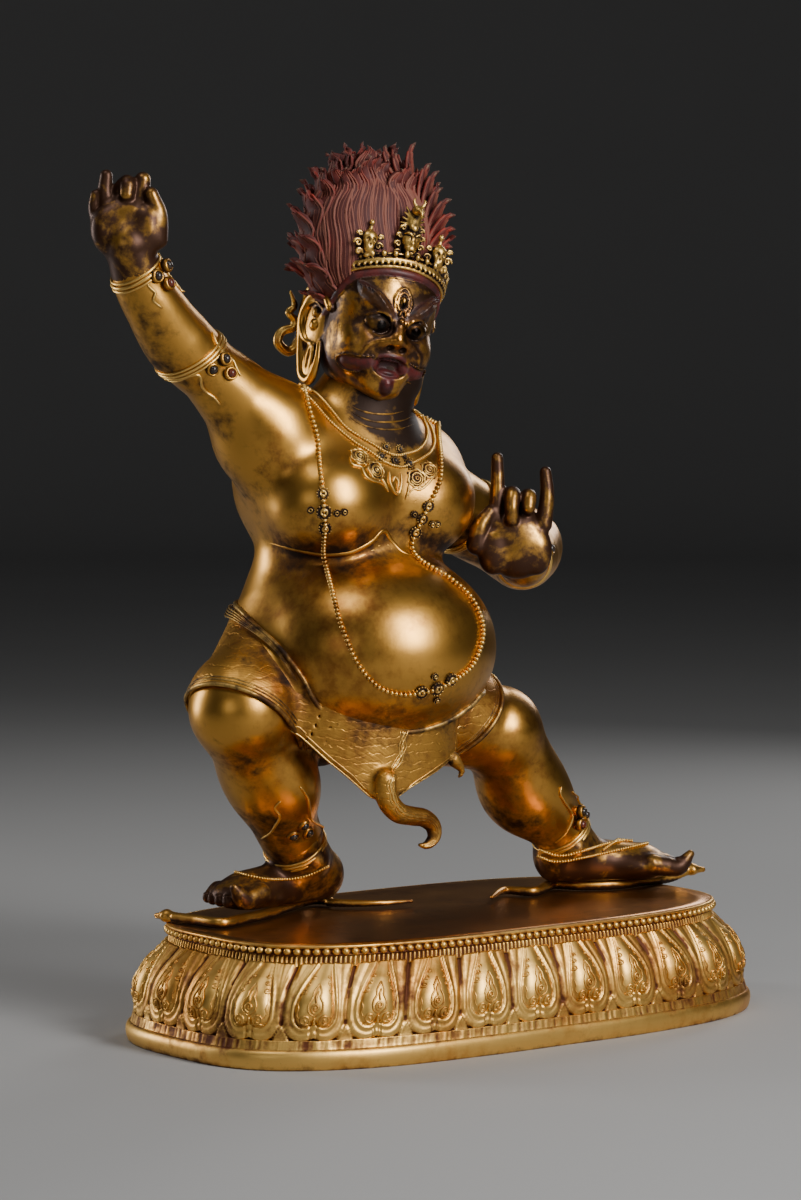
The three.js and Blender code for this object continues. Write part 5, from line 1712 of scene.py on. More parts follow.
    def build_band(self, shop: Workshop, name: str, rows: Sequence[Point], wave: Array, lift: float,
                   inner: tuple[float, float], shut: tuple[float, float]) -> None:
        """A band round the plinth whose front waves in and out.

        Args:
            shop: Who takes the band.
            name: Its name.
            rows: For each ring of its front the level, the spread and how much of the wave it takes.
            wave: How far each column stands out.
            lift: How far the whole front stands out.
            inner: The spread of its hidden inner side, and how far that stands out.
            shut: Its front's hollow value, which paints shade and patina, and how much less of it where the
                wave stands out.
        """
        columns = len(wave)
        rings = [self.ring(columns, z, spread, wave * amount + lift) for z, spread, amount in rows]
        rings += [self.ring(columns, z, *inner) for z in (rows[-1][0], rows[0][0])]
        # Painted shade and patina: darker where the wave sinks, and fully dark on the hidden inner side.
        front = [shut[0] - shut[1] * wave * amount for _, _, amount in rows]
        shape = Shape()
        shape.add(np.concatenate(rings), ring_faces(len(rings), columns, True),
                  paints={"hollow": np.concatenate([*front, np.ones(2 * columns)])})
        shop.cast(name, shape, Finish.PLINTH)

    def build_bands(self, shop: Workshop) -> None:
        """The fluted band under the beads and the chiselled fillet over the foot."""
        chance = np.random.default_rng(7)
        flute = [-1.2, -0.35, 0.25, 0.45, 0.25, -0.35]
        wave = np.tile(flute, self.flutes)
        wave = wave + np.repeat(chance.uniform(-0.15, 0.15, self.flutes), len(flute))
        rows = [(73.0, -0.06, 0.0), (73.4, -0.055, 0.7), (74.6, -0.07, 1.0), (77.0, -0.09, 1.0),
                (79.6, -0.11, 1.0), (80.6, -0.12, 0.6), (80.9, -0.13, 0.0)]
        self.build_band(shop, "fluted_band", rows, wave, 0.8, (-0.2, -1.5), (0.4, 0.35))
        cuts = chance.uniform(-0.55, 0.3, self.cuts)
        cuts = (cuts + np.roll(cuts, 1)) / 2
        rows = [(15.0, 0.965, 0.0), (15.6, 0.955, 1.0), (17.5, 0.935, 1.0), (19.5, 0.915, 1.0),
                (21.2, 0.9, 1.0), (21.8, 0.89, 0.0)]
        self.build_band(shop, "chiselled_fillet", rows, cuts, 0.3, (0.84, -2.0), (0.35, 0.5))

    def build_plate(self, shop: Workshop) -> None:
        """The smooth dark top plate with the fine rope line round its rim."""
        columns, top = 320, self.plate_top
        rings = [self.ring(columns, top - 1.4, -0.09), self.ring(columns, top, -0.09)]
        for inset in (12, 40, 75, 105):
            smaller = [1 - inset / self.half_length, 1 - inset / self.half_width, 1]
            rings.append(self.ring(columns, top, -0.09) * smaller)
        points = np.concatenate([*rings, [[0, 0, top - 1.4]], [[0, 0, top]]])
        shape = Shape()
        shape.add(points, ring_faces(len(rings), columns), end_caps(len(rings), columns))
        shop.cast("plinth_plate", shape, Finish.PLATE)

        line = self.ring(self.twists * 2, top - 0.5, -0.045)
        radii = np.tile([0.5, 0.85], self.twists)
        shape = Shape()
        points, quads, caps = tube(line, radii, np.tile([0.0, 0, 1], (len(line), 1)), 5, closed=True)
        shape.add(points, quads, caps, {"hollow": np.full(len(points), 0.3)})
        shop.cast("rim_rope", shape, Finish.PLINTH)

    def build(self, shop: Workshop) -> None:
        """Make every part of the plinth."""
        self.build_base(shop)
        self.build_petals(shop)
        self.build_scrolls(shop)
        self.build_bands(shop)
        self.build_plate(shop)
        route = self.ring(900, 84.2, -0.02)
        around = np.linalg.norm(np.diff(route, axis=0, append=route[:1]), axis=1).sum()
        shop.strings("rim_beads", [route], True, around / self.beads, 2.75, (1.12, 1.0, 1.0), Finish.PLINTH)


@dataclass
class Loincloth:
    """The cloth round the hips with rolled hems, and the apron that ends in a curled tail."""

    body: Body
    thick: float = 3.0
    step: float = 2.2
    apron_outline: Sequence[Point] = (
        (-168, 268), (-172, 258), (-168, 248), (-158, 236), (-143, 219), (-126, 203), (-112, 190), (-90, 188),
        (-75, 196), (-51, 206), (-26, 217), (0, 234), (14, 262), (8, 280), (-60, 282), (-110, 276),
        (-140, 274))
    tail_depth: float = -58
    tail_seen: Sequence[Point] = (
        (385, 780), (386, 793), (390, 804), (399, 813), (412, 816), (424, 818), (433, 826), (434, 837),
        (427, 845), (420, 845))
    belt_seen: Sequence[Point] = (
        (246, 616), (258, 628), (277, 645), (291, 661), (304, 679), (313, 697), (325, 712), (340, 722),
        (354, 727), (373, 730.5), (392, 731.5), (412, 730.5), (430, 727), (450, 719), (469, 706), (480, 694))
    belt_way: Point = (0.148, -0.44, 0.886)
    belt_point: Point = (-72, -84, 252)
    hems: Sequence[tuple[Point, Point]] = (((-190, -25, 262), (-0.57, -0.25, -0.79)),
                                           ((42, -25, 252), (0.74, 0.27, -0.62)))

    def tail(self) -> list[Point]:
        """The route of the curled end that hangs from the apron."""
        return LENS.upright(self.tail_seen, self.tail_depth).tolist()

    def wrap(self) -> list[Form]:
        """The cloth's own clay before it is cut at its hems."""
        x, thick = self.body.middle, self.thick
        return [
            Ball(centre=(x, 34, 262), radii=(76 + thick, 60 + thick, 50 + thick), blend=20),
            Ball(centre=(x, 40, 318), radii=(83, 60, 62), blend=20),
            Ball(centre=(x - 34, 58, 262), radii=(42 + thick, 40 + thick, 40 + thick), blend=16),
            Ball(centre=(x + 34, 58, 262), radii=(42 + thick, 40 + thick, 40 + thick), blend=16),
            Limb(start=(-112, 34, 262), end=self.body.right_knee, start_radius=58 + thick,
                 end_radius=37 + thick, blend=16),
            Limb(start=(-128, 40, 300), end=(-176, 18, 262), start_radius=44 + thick, end_radius=38 + thick,
                 blend=18),
            Limb(start=(-30, 34, 258), end=self.body.left_knee, start_radius=58 + thick,
                 end_radius=36 + thick, blend=16),
        ]

    def hem_line(self, clay: Clay, point: Point, way: Point, middle: Point, radius: float) -> Array:
        """The closed line where the cloth meets a hem's plane."""
        plane = unit(np.asarray(way, float))
        centre = np.asarray(middle, float)
        centre = centre - plane * ((centre - np.asarray(point)) @ plane)
        line = limb_ring(centre, plane, radius, 90)
        for _ in range(6):
            line = line - clay.slope(line) * (clay.at(line, exact=True) * 0.8)[:, None]
            line = line - plane * ((line - np.asarray(point)) @ plane)[:, None]
        return line

    def build(self, shop: Workshop) -> None:
        """Make the wrapped cloth, its hems and belt, and the apron."""
        whole = Clay(self.wrap())
        cuts = [Side(point=point, outward=way, role=Role.KEEP, blend=1.5) for point, way in self.hems]
        top = Side(point=self.belt_point, outward=self.belt_way, role=Role.KEEP, blend=2)
        clay = Clay([*whole.forms, *cuts, top, *self.apron()])
        skin = clay.skin(self.step)
        joined = Clay([*self.body.clay.forms, *clay.forms])
        # Painted shade: the apron's front below the belt, under the belly, is painted darker; the hollow
        # value paints shade and patina where the cloth meets the body.
        shade_under_belly = ramp(-38, -48, skin.points[:, 1]) * ramp(276, 262, skin.points[:, 2]) * 0.2
        paints = {"hollow": joined.hollows(skin, (6.0, 14.0, 26.0)), "grime": shade_under_belly}
        shop.cover("loincloth", skin, paints, Finish.CLOTH)
        self.clay = clay

        edges = Shape()
        for (point, way), middle, radius in zip(self.hems, ((-176, 12, 258), (30, 16, 236)), (46, 46)):
            line = self.hem_line(whole, point, way, middle, radius)
            for back, size in ((-0.6, 1.9), (3.6, 0.8), (6.0, 0.7)):
                row = line - unit(np.asarray(way, float)) * back
                row = row - whole.slope(row) * (whole.at(row, exact=True))[:, None]
                edges.add(*tube(row, size, whole.slope(row), 6, 0.8, closed=True))
        front = self.body.clay.cast(smooth_path([(*p, 0) for p in self.belt_seen], 5)[:, :2])
        left, right = front[-1], front[0]
        around = [left, (10, 4, 281), (17, 40, 292), (2, 78, 316), (-36, 100, 334), (-72, 105, 340),
                  (-112, 98, 338), (-144, 66, 330), right]
        rest = self.body.clay.snap(smooth_path(around, 6)[1:-1])
        belt = np.concatenate([front, rest])
        ways = self.body.clay.slope(belt)
        edges.add(*tube(belt + ways * 0.9, 2.1, ways, 8, closed=True))
        covered = Clay([*self.body.clay.forms, *whole.forms])
        for drop in (4.6, 7.0, 9.4, 11.8):
            count = len(front) // 4
            row = np.concatenate([rest[len(rest) // 3:], front[:count]]) - np.array([0, 0, drop])
            row = covered.snap(row)
            edges.add(*tube(row, through([0.3, 0.75, 0.75, 0.2], len(row)), covered.slope(row), 5, 0.9))
        edges.paints = [{"hollow": np.full(len(part), 0.35)} for part in edges.points]
        shop.cast("belt_and_hems", edges, Finish.ORNAMENT)
        self.build_trim(shop)

    @staticmethod
    def apron_depth(x: Array, z: Array) -> Array:
        """How far forward the apron hangs: it swings back into the thighs at its sides."""
        swing = np.where(x < -88, 0.0065 * (x + 88) ** 2, 32 * ((x + 88) / 78) ** 4)
        return -56 + swing - 0.06 * (z - 225)

    def apron(self) -> list[Form]:
        """The apron under the belly, its curled tail and a small point beside it."""
        return [
            Sheet(outline=self.apron_outline, depth=self.apron_depth, thickness=3.6, reach=(-66, -2),
                  blend=7),
            Roll(points=self.tail(), radii=[8.5, 8.6, 8.4, 8, 7.4, 7.2, 6.8, 5.8, 4.2, 1.6], spacing=2.5,
                 blend=5),
            Roll(points=[(-30, -47, 214), (-21, -47, 204), (-24, -47, 199)], radii=[6, 3.5, 1.2], spacing=3,
                 blend=3),
        ]

    def build_trim(self, shop: Workshop) -> None:
        """The apron's rim lines and the braid down its middle and along the tail."""
        shape = Shape()
        rim = smooth_path([(x, 0, z) for x, z in self.apron_outline[2:13]], 2.5)
        for inset, size in ((1.2, 0.8), (4.2, 0.5)):
            row = rim + unit(np.array([-88.0, 0, 262]) - rim) * inset
            row[:, 1] = self.apron_depth(row[:, 0], row[:, 2])
            ways = self.clay.slope(self.clay.snap(row))
            shape.add(*tube(self.clay.snap(row), size, ways, 5))
        spine = smooth_path([(-86, -60, 238), (-89, -60, 218), *self.tail()], 1.6)
        side = np.cross(unit(np.gradient(spine, axis=0)), [0.0, -1, 0])
        taper, wave = np.linspace(1, 0.3, len(spine)), np.cos(np.arange(len(spine)) * 0.9)
        for offset, size, swing, steady in ((-1.1, 0.9, 1, 0), (1.1, 0.9, 1, 0), (-4.6, 0.55, 0.2, 0.6),
                                            (4.6, 0.55, 0.2, 0.6)):
            row = spine + side * (offset * (taper * wave * swing + steady))[:, None]
            laid = self.clay.snap(row - np.array([0, 9.0, 0]))
            shape.add(*tube(laid, through([size, size, size * 0.4], len(row)), self.clay.slope(laid), 5))
        shop.cast("apron_trim", shape, Finish.ORNAMENT)


def pixel_line(pixels: Sequence[Point], spacing: float = 4.0) -> Array:
    """A smooth route through pixels of the photograph."""
    return smooth_path([(u, v, 0) for u, v in pixels], spacing)[:, :2]


@dataclass
class Jewellery:
    """Beaded chains, necklaces and pectoral, armlets, bracelets and anklets, laid on the skin."""

    body: Body
    stones: Sequence[str]
    rusty: Sequence[str] = ("stone_right_arm_3", "stone_right_wrist_2", "stone_left_ankle_2")
    bead: float = 2.1
    long_chain_right: Sequence[Point] = (
        (303, 388), (309, 412), (317, 440), (320, 468), (323, 494), (324, 512), (325, 528), (324, 555),
        (333, 593), (342, 627), (358, 664), (379, 687), (402, 694), (422, 692), (437, 688), (451, 681),
        (472, 664), (482, 631), (472, 601), (450, 580), (432, 569), (417, 559), (411, 547), (415, 532),
        (422, 519), (428, 506), (435, 492), (440, 478), (440, 458), (438, 440), (437, 420), (437, 405))
    chain_back: Sequence[Point] = ((-124, 26, 486), (-112, 62, 478), (-84, 76, 470), (-52, 70, 468),
                                   (-28, 46, 470))
    rosettes: Sequence[tuple[Point, float]] = (
        ((323, 494), 4.8), ((324, 512), 5.8), ((325, 528), 5.0), ((421, 692), 5.2), ((436.5, 688.5), 5.6),
        ((450.5, 679.5), 5.2), ((415, 532), 4.8), ((422, 519), 4.4), ((428, 506), 4.4))
    drops: Sequence[Point] = ((311, 510), (336.5, 513), (344, 512), (434.5, 676.5), (436.5, 700), (414, 514),
                              (432, 524), (437, 524))
    flowers: Sequence[tuple[Point, float]] = (
        ((359.6, 456.8), 6.4), ((375.8, 470.8), 6.6), ((416.4, 478.6), 6.4), ((429, 470), 5.8))
    bezels: Sequence[tuple[Point, float]] = (
        ((380.7, 456.8), 4.6), ((385.6, 447.4), 3.7), ((399.6, 450), 3.7), ((394.7, 461), 4.2),
        ((409.4, 463.8), 4.6), ((404, 456.5), 2.4))
    curls: Sequence[Sequence[Point]] = (
        ((349.8, 456.8), (351.9, 464.5), (361, 467.3), (363.1, 472.3), (366, 477.2), (372.3, 480.7),
         (379.3, 482.4), (384.2, 485.6), (388, 491.9)),
        ((436, 463), (436.4, 470), (432, 478.4), (423.5, 487.7), (418.6, 489.8), (413, 489), (405.2, 498.9)),
        ((389.4, 472), (389.8, 483), (396.8, 494.7), (401, 484), (400.5, 472.6)),
        ((392.4, 482), (394.6, 476.5), (398, 482), (396.8, 490)),
        ((381, 478), (384.6, 484), (388, 491.9)), ((408.7, 483.5), (408, 491), (405.2, 498.9)))
    strands: Sequence[Sequence[Point]] = (
        ((301, 382), (316, 394), (330, 409), (344, 426), (358, 436), (372, 444), (383, 451), (395, 455.5),
         (406, 454), (416, 451), (423, 445), (427, 436), (426, 426), (420, 416), (413, 410)),
        ((301, 390), (316, 406), (327, 419), (341, 431.6), (355, 443), (367, 450), (377, 457), (388, 464),
         (402, 467), (414, 462.5), (423, 458), (430, 452.6), (434, 444), (433, 434), (430, 426), (423, 415)))
    neck_folds: Sequence[Sequence[Point]] = (
        ((349, 404), (357, 409), (368, 412.6), (380, 414), (392, 413.8), (404, 411)),
        ((348, 409), (360, 417), (374, 421.5), (390, 422), (404, 420), (414, 415)),
        ((348, 415), (358, 423), (372, 427.6), (387, 429.6), (401, 428.6), (414, 424)))
    behind_neck: Sequence[Point] = ((-26, 30, 474), (-48, 58, 478), (-80, 64, 482), (-106, 46, 486))

    def lifted(self, line: Array, rise: float) -> tuple[Array, Array]:
        """A line on the skin raised off it, with its ways up."""
        ways = self.body.clay.slope(line)
        return line + ways * rise, ways

    def spot(self, pixel: Point) -> tuple[Array, Array]:
        """The point on the skin behind a pixel, with its way up."""
        found = self.body.clay.cast([pixel])
        return found[0], self.body.clay.slope(found)[0]

    def boss(self, shape: Shape, centre: Array, way: Array, size: float, lobes: int = 0) -> None:
        """A turned boss with a beaded rim, an inner ring and a hollow middle."""
        profile = [(size, -1.2), (size, 0.7), (size * 0.84, 1.3), (size * 0.72, 0.8), (size * 0.58, 0.8),
                   (size * 0.5, 2.1), (size * 0.34, 2.2), (size * 0.22, 1.0), (size * 0.05, 0.9)]
        points, quads, caps = turned(profile, centre, way, 24, lobes, 0.2 if lobes else 0.0)
        # Painted shade: darker towards the boss's foot, where it meets the skin.
        height = (points - centre) @ way
        shape.add(points, quads, caps, {"hollow": np.clip(0.9 - 0.35 * height, 0.1, 0.95)})
        if lobes:
            return
        for place in limb_ring(centre + way * 0.9, way, size * 0.96, 12):
            self.grain(shape, place, way, size * 0.16)

    @staticmethod
    def grain(shape: Shape, centre: Array, way: Array, size: float) -> None:
        """A small round grain."""
        profile = [(size * 0.6, -size * 0.8), (size, 0), (size * 0.7, size * 0.7), (size * 0.1, size)]
        points, quads, caps = turned(profile, centre, way, 7)
        shape.add(points, quads, caps, {"hollow": np.full(len(points), 0.3)})

    def build_chains(self, shop: Workshop) -> None:
        """The long chain over chest and belly, and the strands of the necklace."""
        clay = self.body.clay
        seen = clay.cast(pixel_line(self.long_chain_right))
        behind = clay.snap(smooth_path([seen[0], *self.chain_back, seen[-1]], 5)[1:-1])
        loop, _ = self.lifted(np.concatenate([seen, behind[::-1]]), self.bead * 0.7)
        shop.strings("long_chain", [loop], True, 3.7, self.bead, (0.8, 1.0, 1.0), Finish.ORNAMENT)
        strands = []
        for row in self.strands:
            front = clay.cast(pixel_line(row))
            back = clay.snap(smooth_path([front[-1], *self.behind_neck, front[0]], 4)[1:-1])
            strands.append(self.lifted(np.concatenate([front, back]), 0.7)[0])
        shop.strings("necklace_strands", strands, True, 2.05, 1.4, (0.8, 1.0, 1.0), Finish.ORNAMENT)

    def flower(self, shape: Shape, centre: Array, way: Array, size: float) -> None:
        """A flower: a boss on a disc, a six-lobed rim, a spiral between them and grains round it."""
        clay = self.body.clay
        self.boss(shape, centre, way, size * 0.5)
        count, petals = 60, 6
        lobes = 1 + 0.16 * np.abs(np.cos(2 * np.pi * np.arange(count) / count * petals / 2))
        rim = clay.snap(centre + (limb_ring(centre, way, size, count) - centre) * lobes[:, None])
        shape.add(*tube(rim + clay.slope(rim) * 0.5, 0.8, clay.slope(rim), 6, closed=True))
        disc, quads, caps = turned([(size, -1.5), (size * 0.96, 0.3), (size * 0.5, 0.5)], centre, way, 24)
        shape.add(disc, quads, caps, {"hollow": np.full(len(disc), 0.5)})
        turns = np.linspace(0, 9.5, 34)
        picks = (np.degrees(turns) % 360).astype(int)
        reach = np.linspace(size * 0.86, size * 0.45, len(turns))
        line = centre + (limb_ring(centre, way, 1.0, 360)[picks] - centre) * reach[:, None] + way * 1.1
        shape.add(*tube(line, 0.6, np.tile(way, (len(line), 1)), 5))
        for place in limb_ring(centre, way, size * 1.28, 7):
            self.grain(shape, clay.snap(place[None])[0] + way * 0.3, way, 1.1)

    def build_pectoral(self, shop: Workshop) -> None:
        """Flowers, bezels and a drop at the middle of the necklace, and the rosettes of the long chain."""
        clay = self.body.clay
        shape = Shape()
        for pixel, size in self.flowers:
            self.flower(shape, *self.spot(pixel), size)
        for curl in self.curls:
            raised, ways = self.lifted(clay.cast(pixel_line(curl, 2.5)), 0.5)
            shape.add(*tube(raised, through([0.6, 1.1, 1.1, 0.4], len(raised)), ways, 6))
        for pixel, size in self.rosettes:
            place, way = self.spot(pixel)
            self.boss(shape, place + way * 0.9, way, size)
        for pixel in self.drops:
            place, way = self.spot(pixel)
            self.boss(shape, place + way * 0.6, way, 2.9)
        stones = Shape()
        for pixel, size in self.bezels:
            place, way = self.spot(pixel)
            self.setting(shape, stones, place + way * 0.5, way, size * 0.8, size * 0.42)
            for grain in limb_ring(place + way * 0.7, way, size, 11):
                self.grain(shape, grain, way, size * 0.19)
        shop.cast("pectoral", shape, Finish.ORNAMENT)
        shop.cast("pectoral_stones", stones, Finish.STONE)

    @staticmethod
    def setting(metal: Shape, stones: Shape, centre: Array, way: Array, outer: float, stone: float,
                rise: float = 1.4) -> None:
        """A round bezel with a domed stone in it."""
        rim = (outer + stone) / 2
        profile = [(outer, -2.5), (outer * 0.98, rise * 0.5), (rim, rise), (stone * 1.02, rise * 0.9),
                   (stone, rise * 0.2), (stone * 0.1, rise * 0.15)]
        points, quads, caps = turned(profile, centre, way, 22)
        # Painted shade: darker towards the bezel's foot, where it meets the skin.
        height = (points - centre) @ way
        metal.add(points, quads, caps, {"hollow": np.clip(0.8 - 0.35 * height, 0.1, 0.9)})
        foot = rise * 0.9
        dome = [(stone * 0.98, rise * 0.1), (stone * 0.96, foot), (stone * 0.72, foot + stone * 0.42),
                (stone * 0.38, foot + stone * 0.6), (stone * 0.06, foot + stone * 0.66)]
        stones.add(*turned(dome, centre, way, 18))

    def build_rings(self, shop: Workshop) -> None:
        """Armlets, bracelets and anklets: three flat rings each, with wires curling off them."""
        clay = self.body.clay
        shape = Shape()
        rings = (((-270, 25, 587), (-0.6, -0.08, 0.79), 24), ((-219, 31, 525), (-0.604, -0.094, 0.792), 28),
                 ((66, -15, 362), (-0.63, -0.78, -0.09), 26), ((54, 42, 402), (0.82, 0.05, -0.55), 36),
                 ((-113, 46, 142), (0.56, 0.27, -0.78), 27), ((134, 20, 138), (0.62, 0.08, -0.78), 27))
        for centre, along, radius in rings:
            axis = unit(np.asarray(along, float))
            for offset, size in ((-3.0, 1.2), (0.0, 1.5), (3.0, 1.2)):
                middle = np.asarray(centre) + axis * offset
                line = limb_ring(middle, axis, radius, 72)
                for _ in range(5):
                    line = line - clay.slope(line) * (clay.at(line, exact=True) * 0.9)[:, None]
                    line = line - axis * ((line - middle) @ axis)[:, None]
                ways = clay.slope(line)
                shape.add(*tube(line + ways * size * 0.6, size, ways, 7, 0.85, closed=True))
        wires = (
            ([(146, 282), (150, 288), (155, 293), (153, 300), (158, 305), (162, 308)], 1.15),
            ([(165, 250), (168, 262), (175, 272), (178, 282), (184, 292)], 1.1),
            ([(165, 379), (176, 381), (192, 375), (200, 376), (202, 386), (208, 393), (214, 397), (220, 404)],
             1.15),
            ([(212, 332), (216, 343), (224, 354), (232, 360), (236, 368), (240, 376)], 1.1),
            ([(280, 801), (275, 808), (280, 816), (276, 824), (270, 833), (262, 838)], 1.2),
            ([(300, 787), (307, 797), (309, 808), (311, 819), (319, 825), (325, 828)], 1.2),
            ([(561, 787), (560, 794), (564, 802), (572, 816), (566, 832), (556, 842)], 1.2),
            ([(572, 792), (580, 800), (583, 810), (589, 818)], 1.0),
        )
        for pixels, size in wires:
            raised, ways = self.lifted(clay.cast(pixel_line(pixels, 2.5)), 0.6)
            shape.add(*tube(raised, through([size * 0.5, size, size, size * 0.6], len(raised)), ways, 6))
        shop.cast("bangles", shape, Finish.ORNAMENT)

    def build_folds(self, shop: Workshop) -> None:
        """The double crease under the chest and the three folds of the neck."""
        clay = self.body.clay
        shape = Shape()
        creases = (
            ([(262, 541), (290, 549), (320, 555), (340, 555), (354, 552), (371, 543), (384, 531), (392, 541),
              (404, 552), (420, 555), (438, 553)], 2.3, 0.5),
            ([(322, 560), (340, 561), (356, 558), (372, 551), (385, 543), (393, 550), (405, 558)], 1.0, 0.35),
        )
        for pixels, size, flat in creases:
            raised, ways = self.lifted(clay.cast(pixel_line(pixels, 3)), -0.2)
            sizes = size * through([0.1, 0.7, 1, 1, 1, 0.9, 0.5, 0.1], len(raised))
            shape.add(*tube(raised, sizes, ways, 8, flat))
        for pixels in self.neck_folds:
            raised, ways = self.lifted(clay.cast(pixel_line(pixels, 3)), -0.1)
            sizes = 0.9 * through([0.2, 1, 1, 0.2], len(raised))
            points, *faces = tube(raised, sizes, ways, 6, 0.8)
            # The neck folds are painted darker, as dirt and shade in the creases.
            shape.add(points, *faces, paints={"grime": np.full(len(points), 0.5)})
        shop.cast("skin_folds", shape, Finish.BODY)

    def build_inlays(self, shop: Workshop) -> None:
        """The thirteen stones of the arms and ankles, each in its bezel."""
        metal = Shape()
        for name in self.stones:
            low, high = (np.asarray(corner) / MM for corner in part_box(name))
            centre = (low + high) / 2
            way = self.body.clay.slope(centre[None])[0]
            gap = float(self.body.clay.at(centre[None], True)[0])
            foot = centre - way * np.clip(gap, -3.0, 3.4)
            metal.add(*turned([(4.2, min(2.4 - gap, -1.0)), (4.8, 0.6)], foot, way, 18))
            one = Shape()
            self.setting(metal, one, foot, way, 5.4, 3.5, 2.4)
            shop.cast("inlay_" + name, one, Finish.RUST if name in self.rusty else Finish.STONE, [name])
        shop.cast("bezels", metal, Finish.BODY)

    def build(self, shop: Workshop) -> None:
        """Make all the jewellery."""
        self.build_chains(shop)
        self.build_pectoral(shop)
        self.build_rings(shop)
        self.build_folds(shop)
        self.build_inlays(shop)


@dataclass
class FootChains:
    """The beaded chain over each foot."""

    right: Foot
    left: Foot
    right_seen: Sequence[Sequence[Point]] = (
        ((327, 866), (304, 876), (277, 880), (255, 878), (236, 873)),)
    left_seen: Sequence[Sequence[Point]] = (
        ((539, 856), (552, 861), (565, 861), (583, 857), (601, 854), (625, 849), (647, 844)),
        ((541, 850), (555, 855), (567, 855), (585, 850), (603, 845), (624, 841)),
        ((603, 850), (622, 838), (632, 834)))

    def build(self, shop: Workshop) -> None:
        """Lay the chains on the feet."""
        routes = []
        for foot, chains in ((self.right, self.right_seen), (self.left, self.left_seen)):
            for pixels in chains:
                seen = foot.clay.cast(pixel_line(pixels, 3))
                routes.append(seen + foot.clay.slope(seen) * 0.9)
        shop.strings("foot_chains", routes, False, 2.2, 1.35, (0.9, 1.0, 1.0), Finish.ORNAMENT)


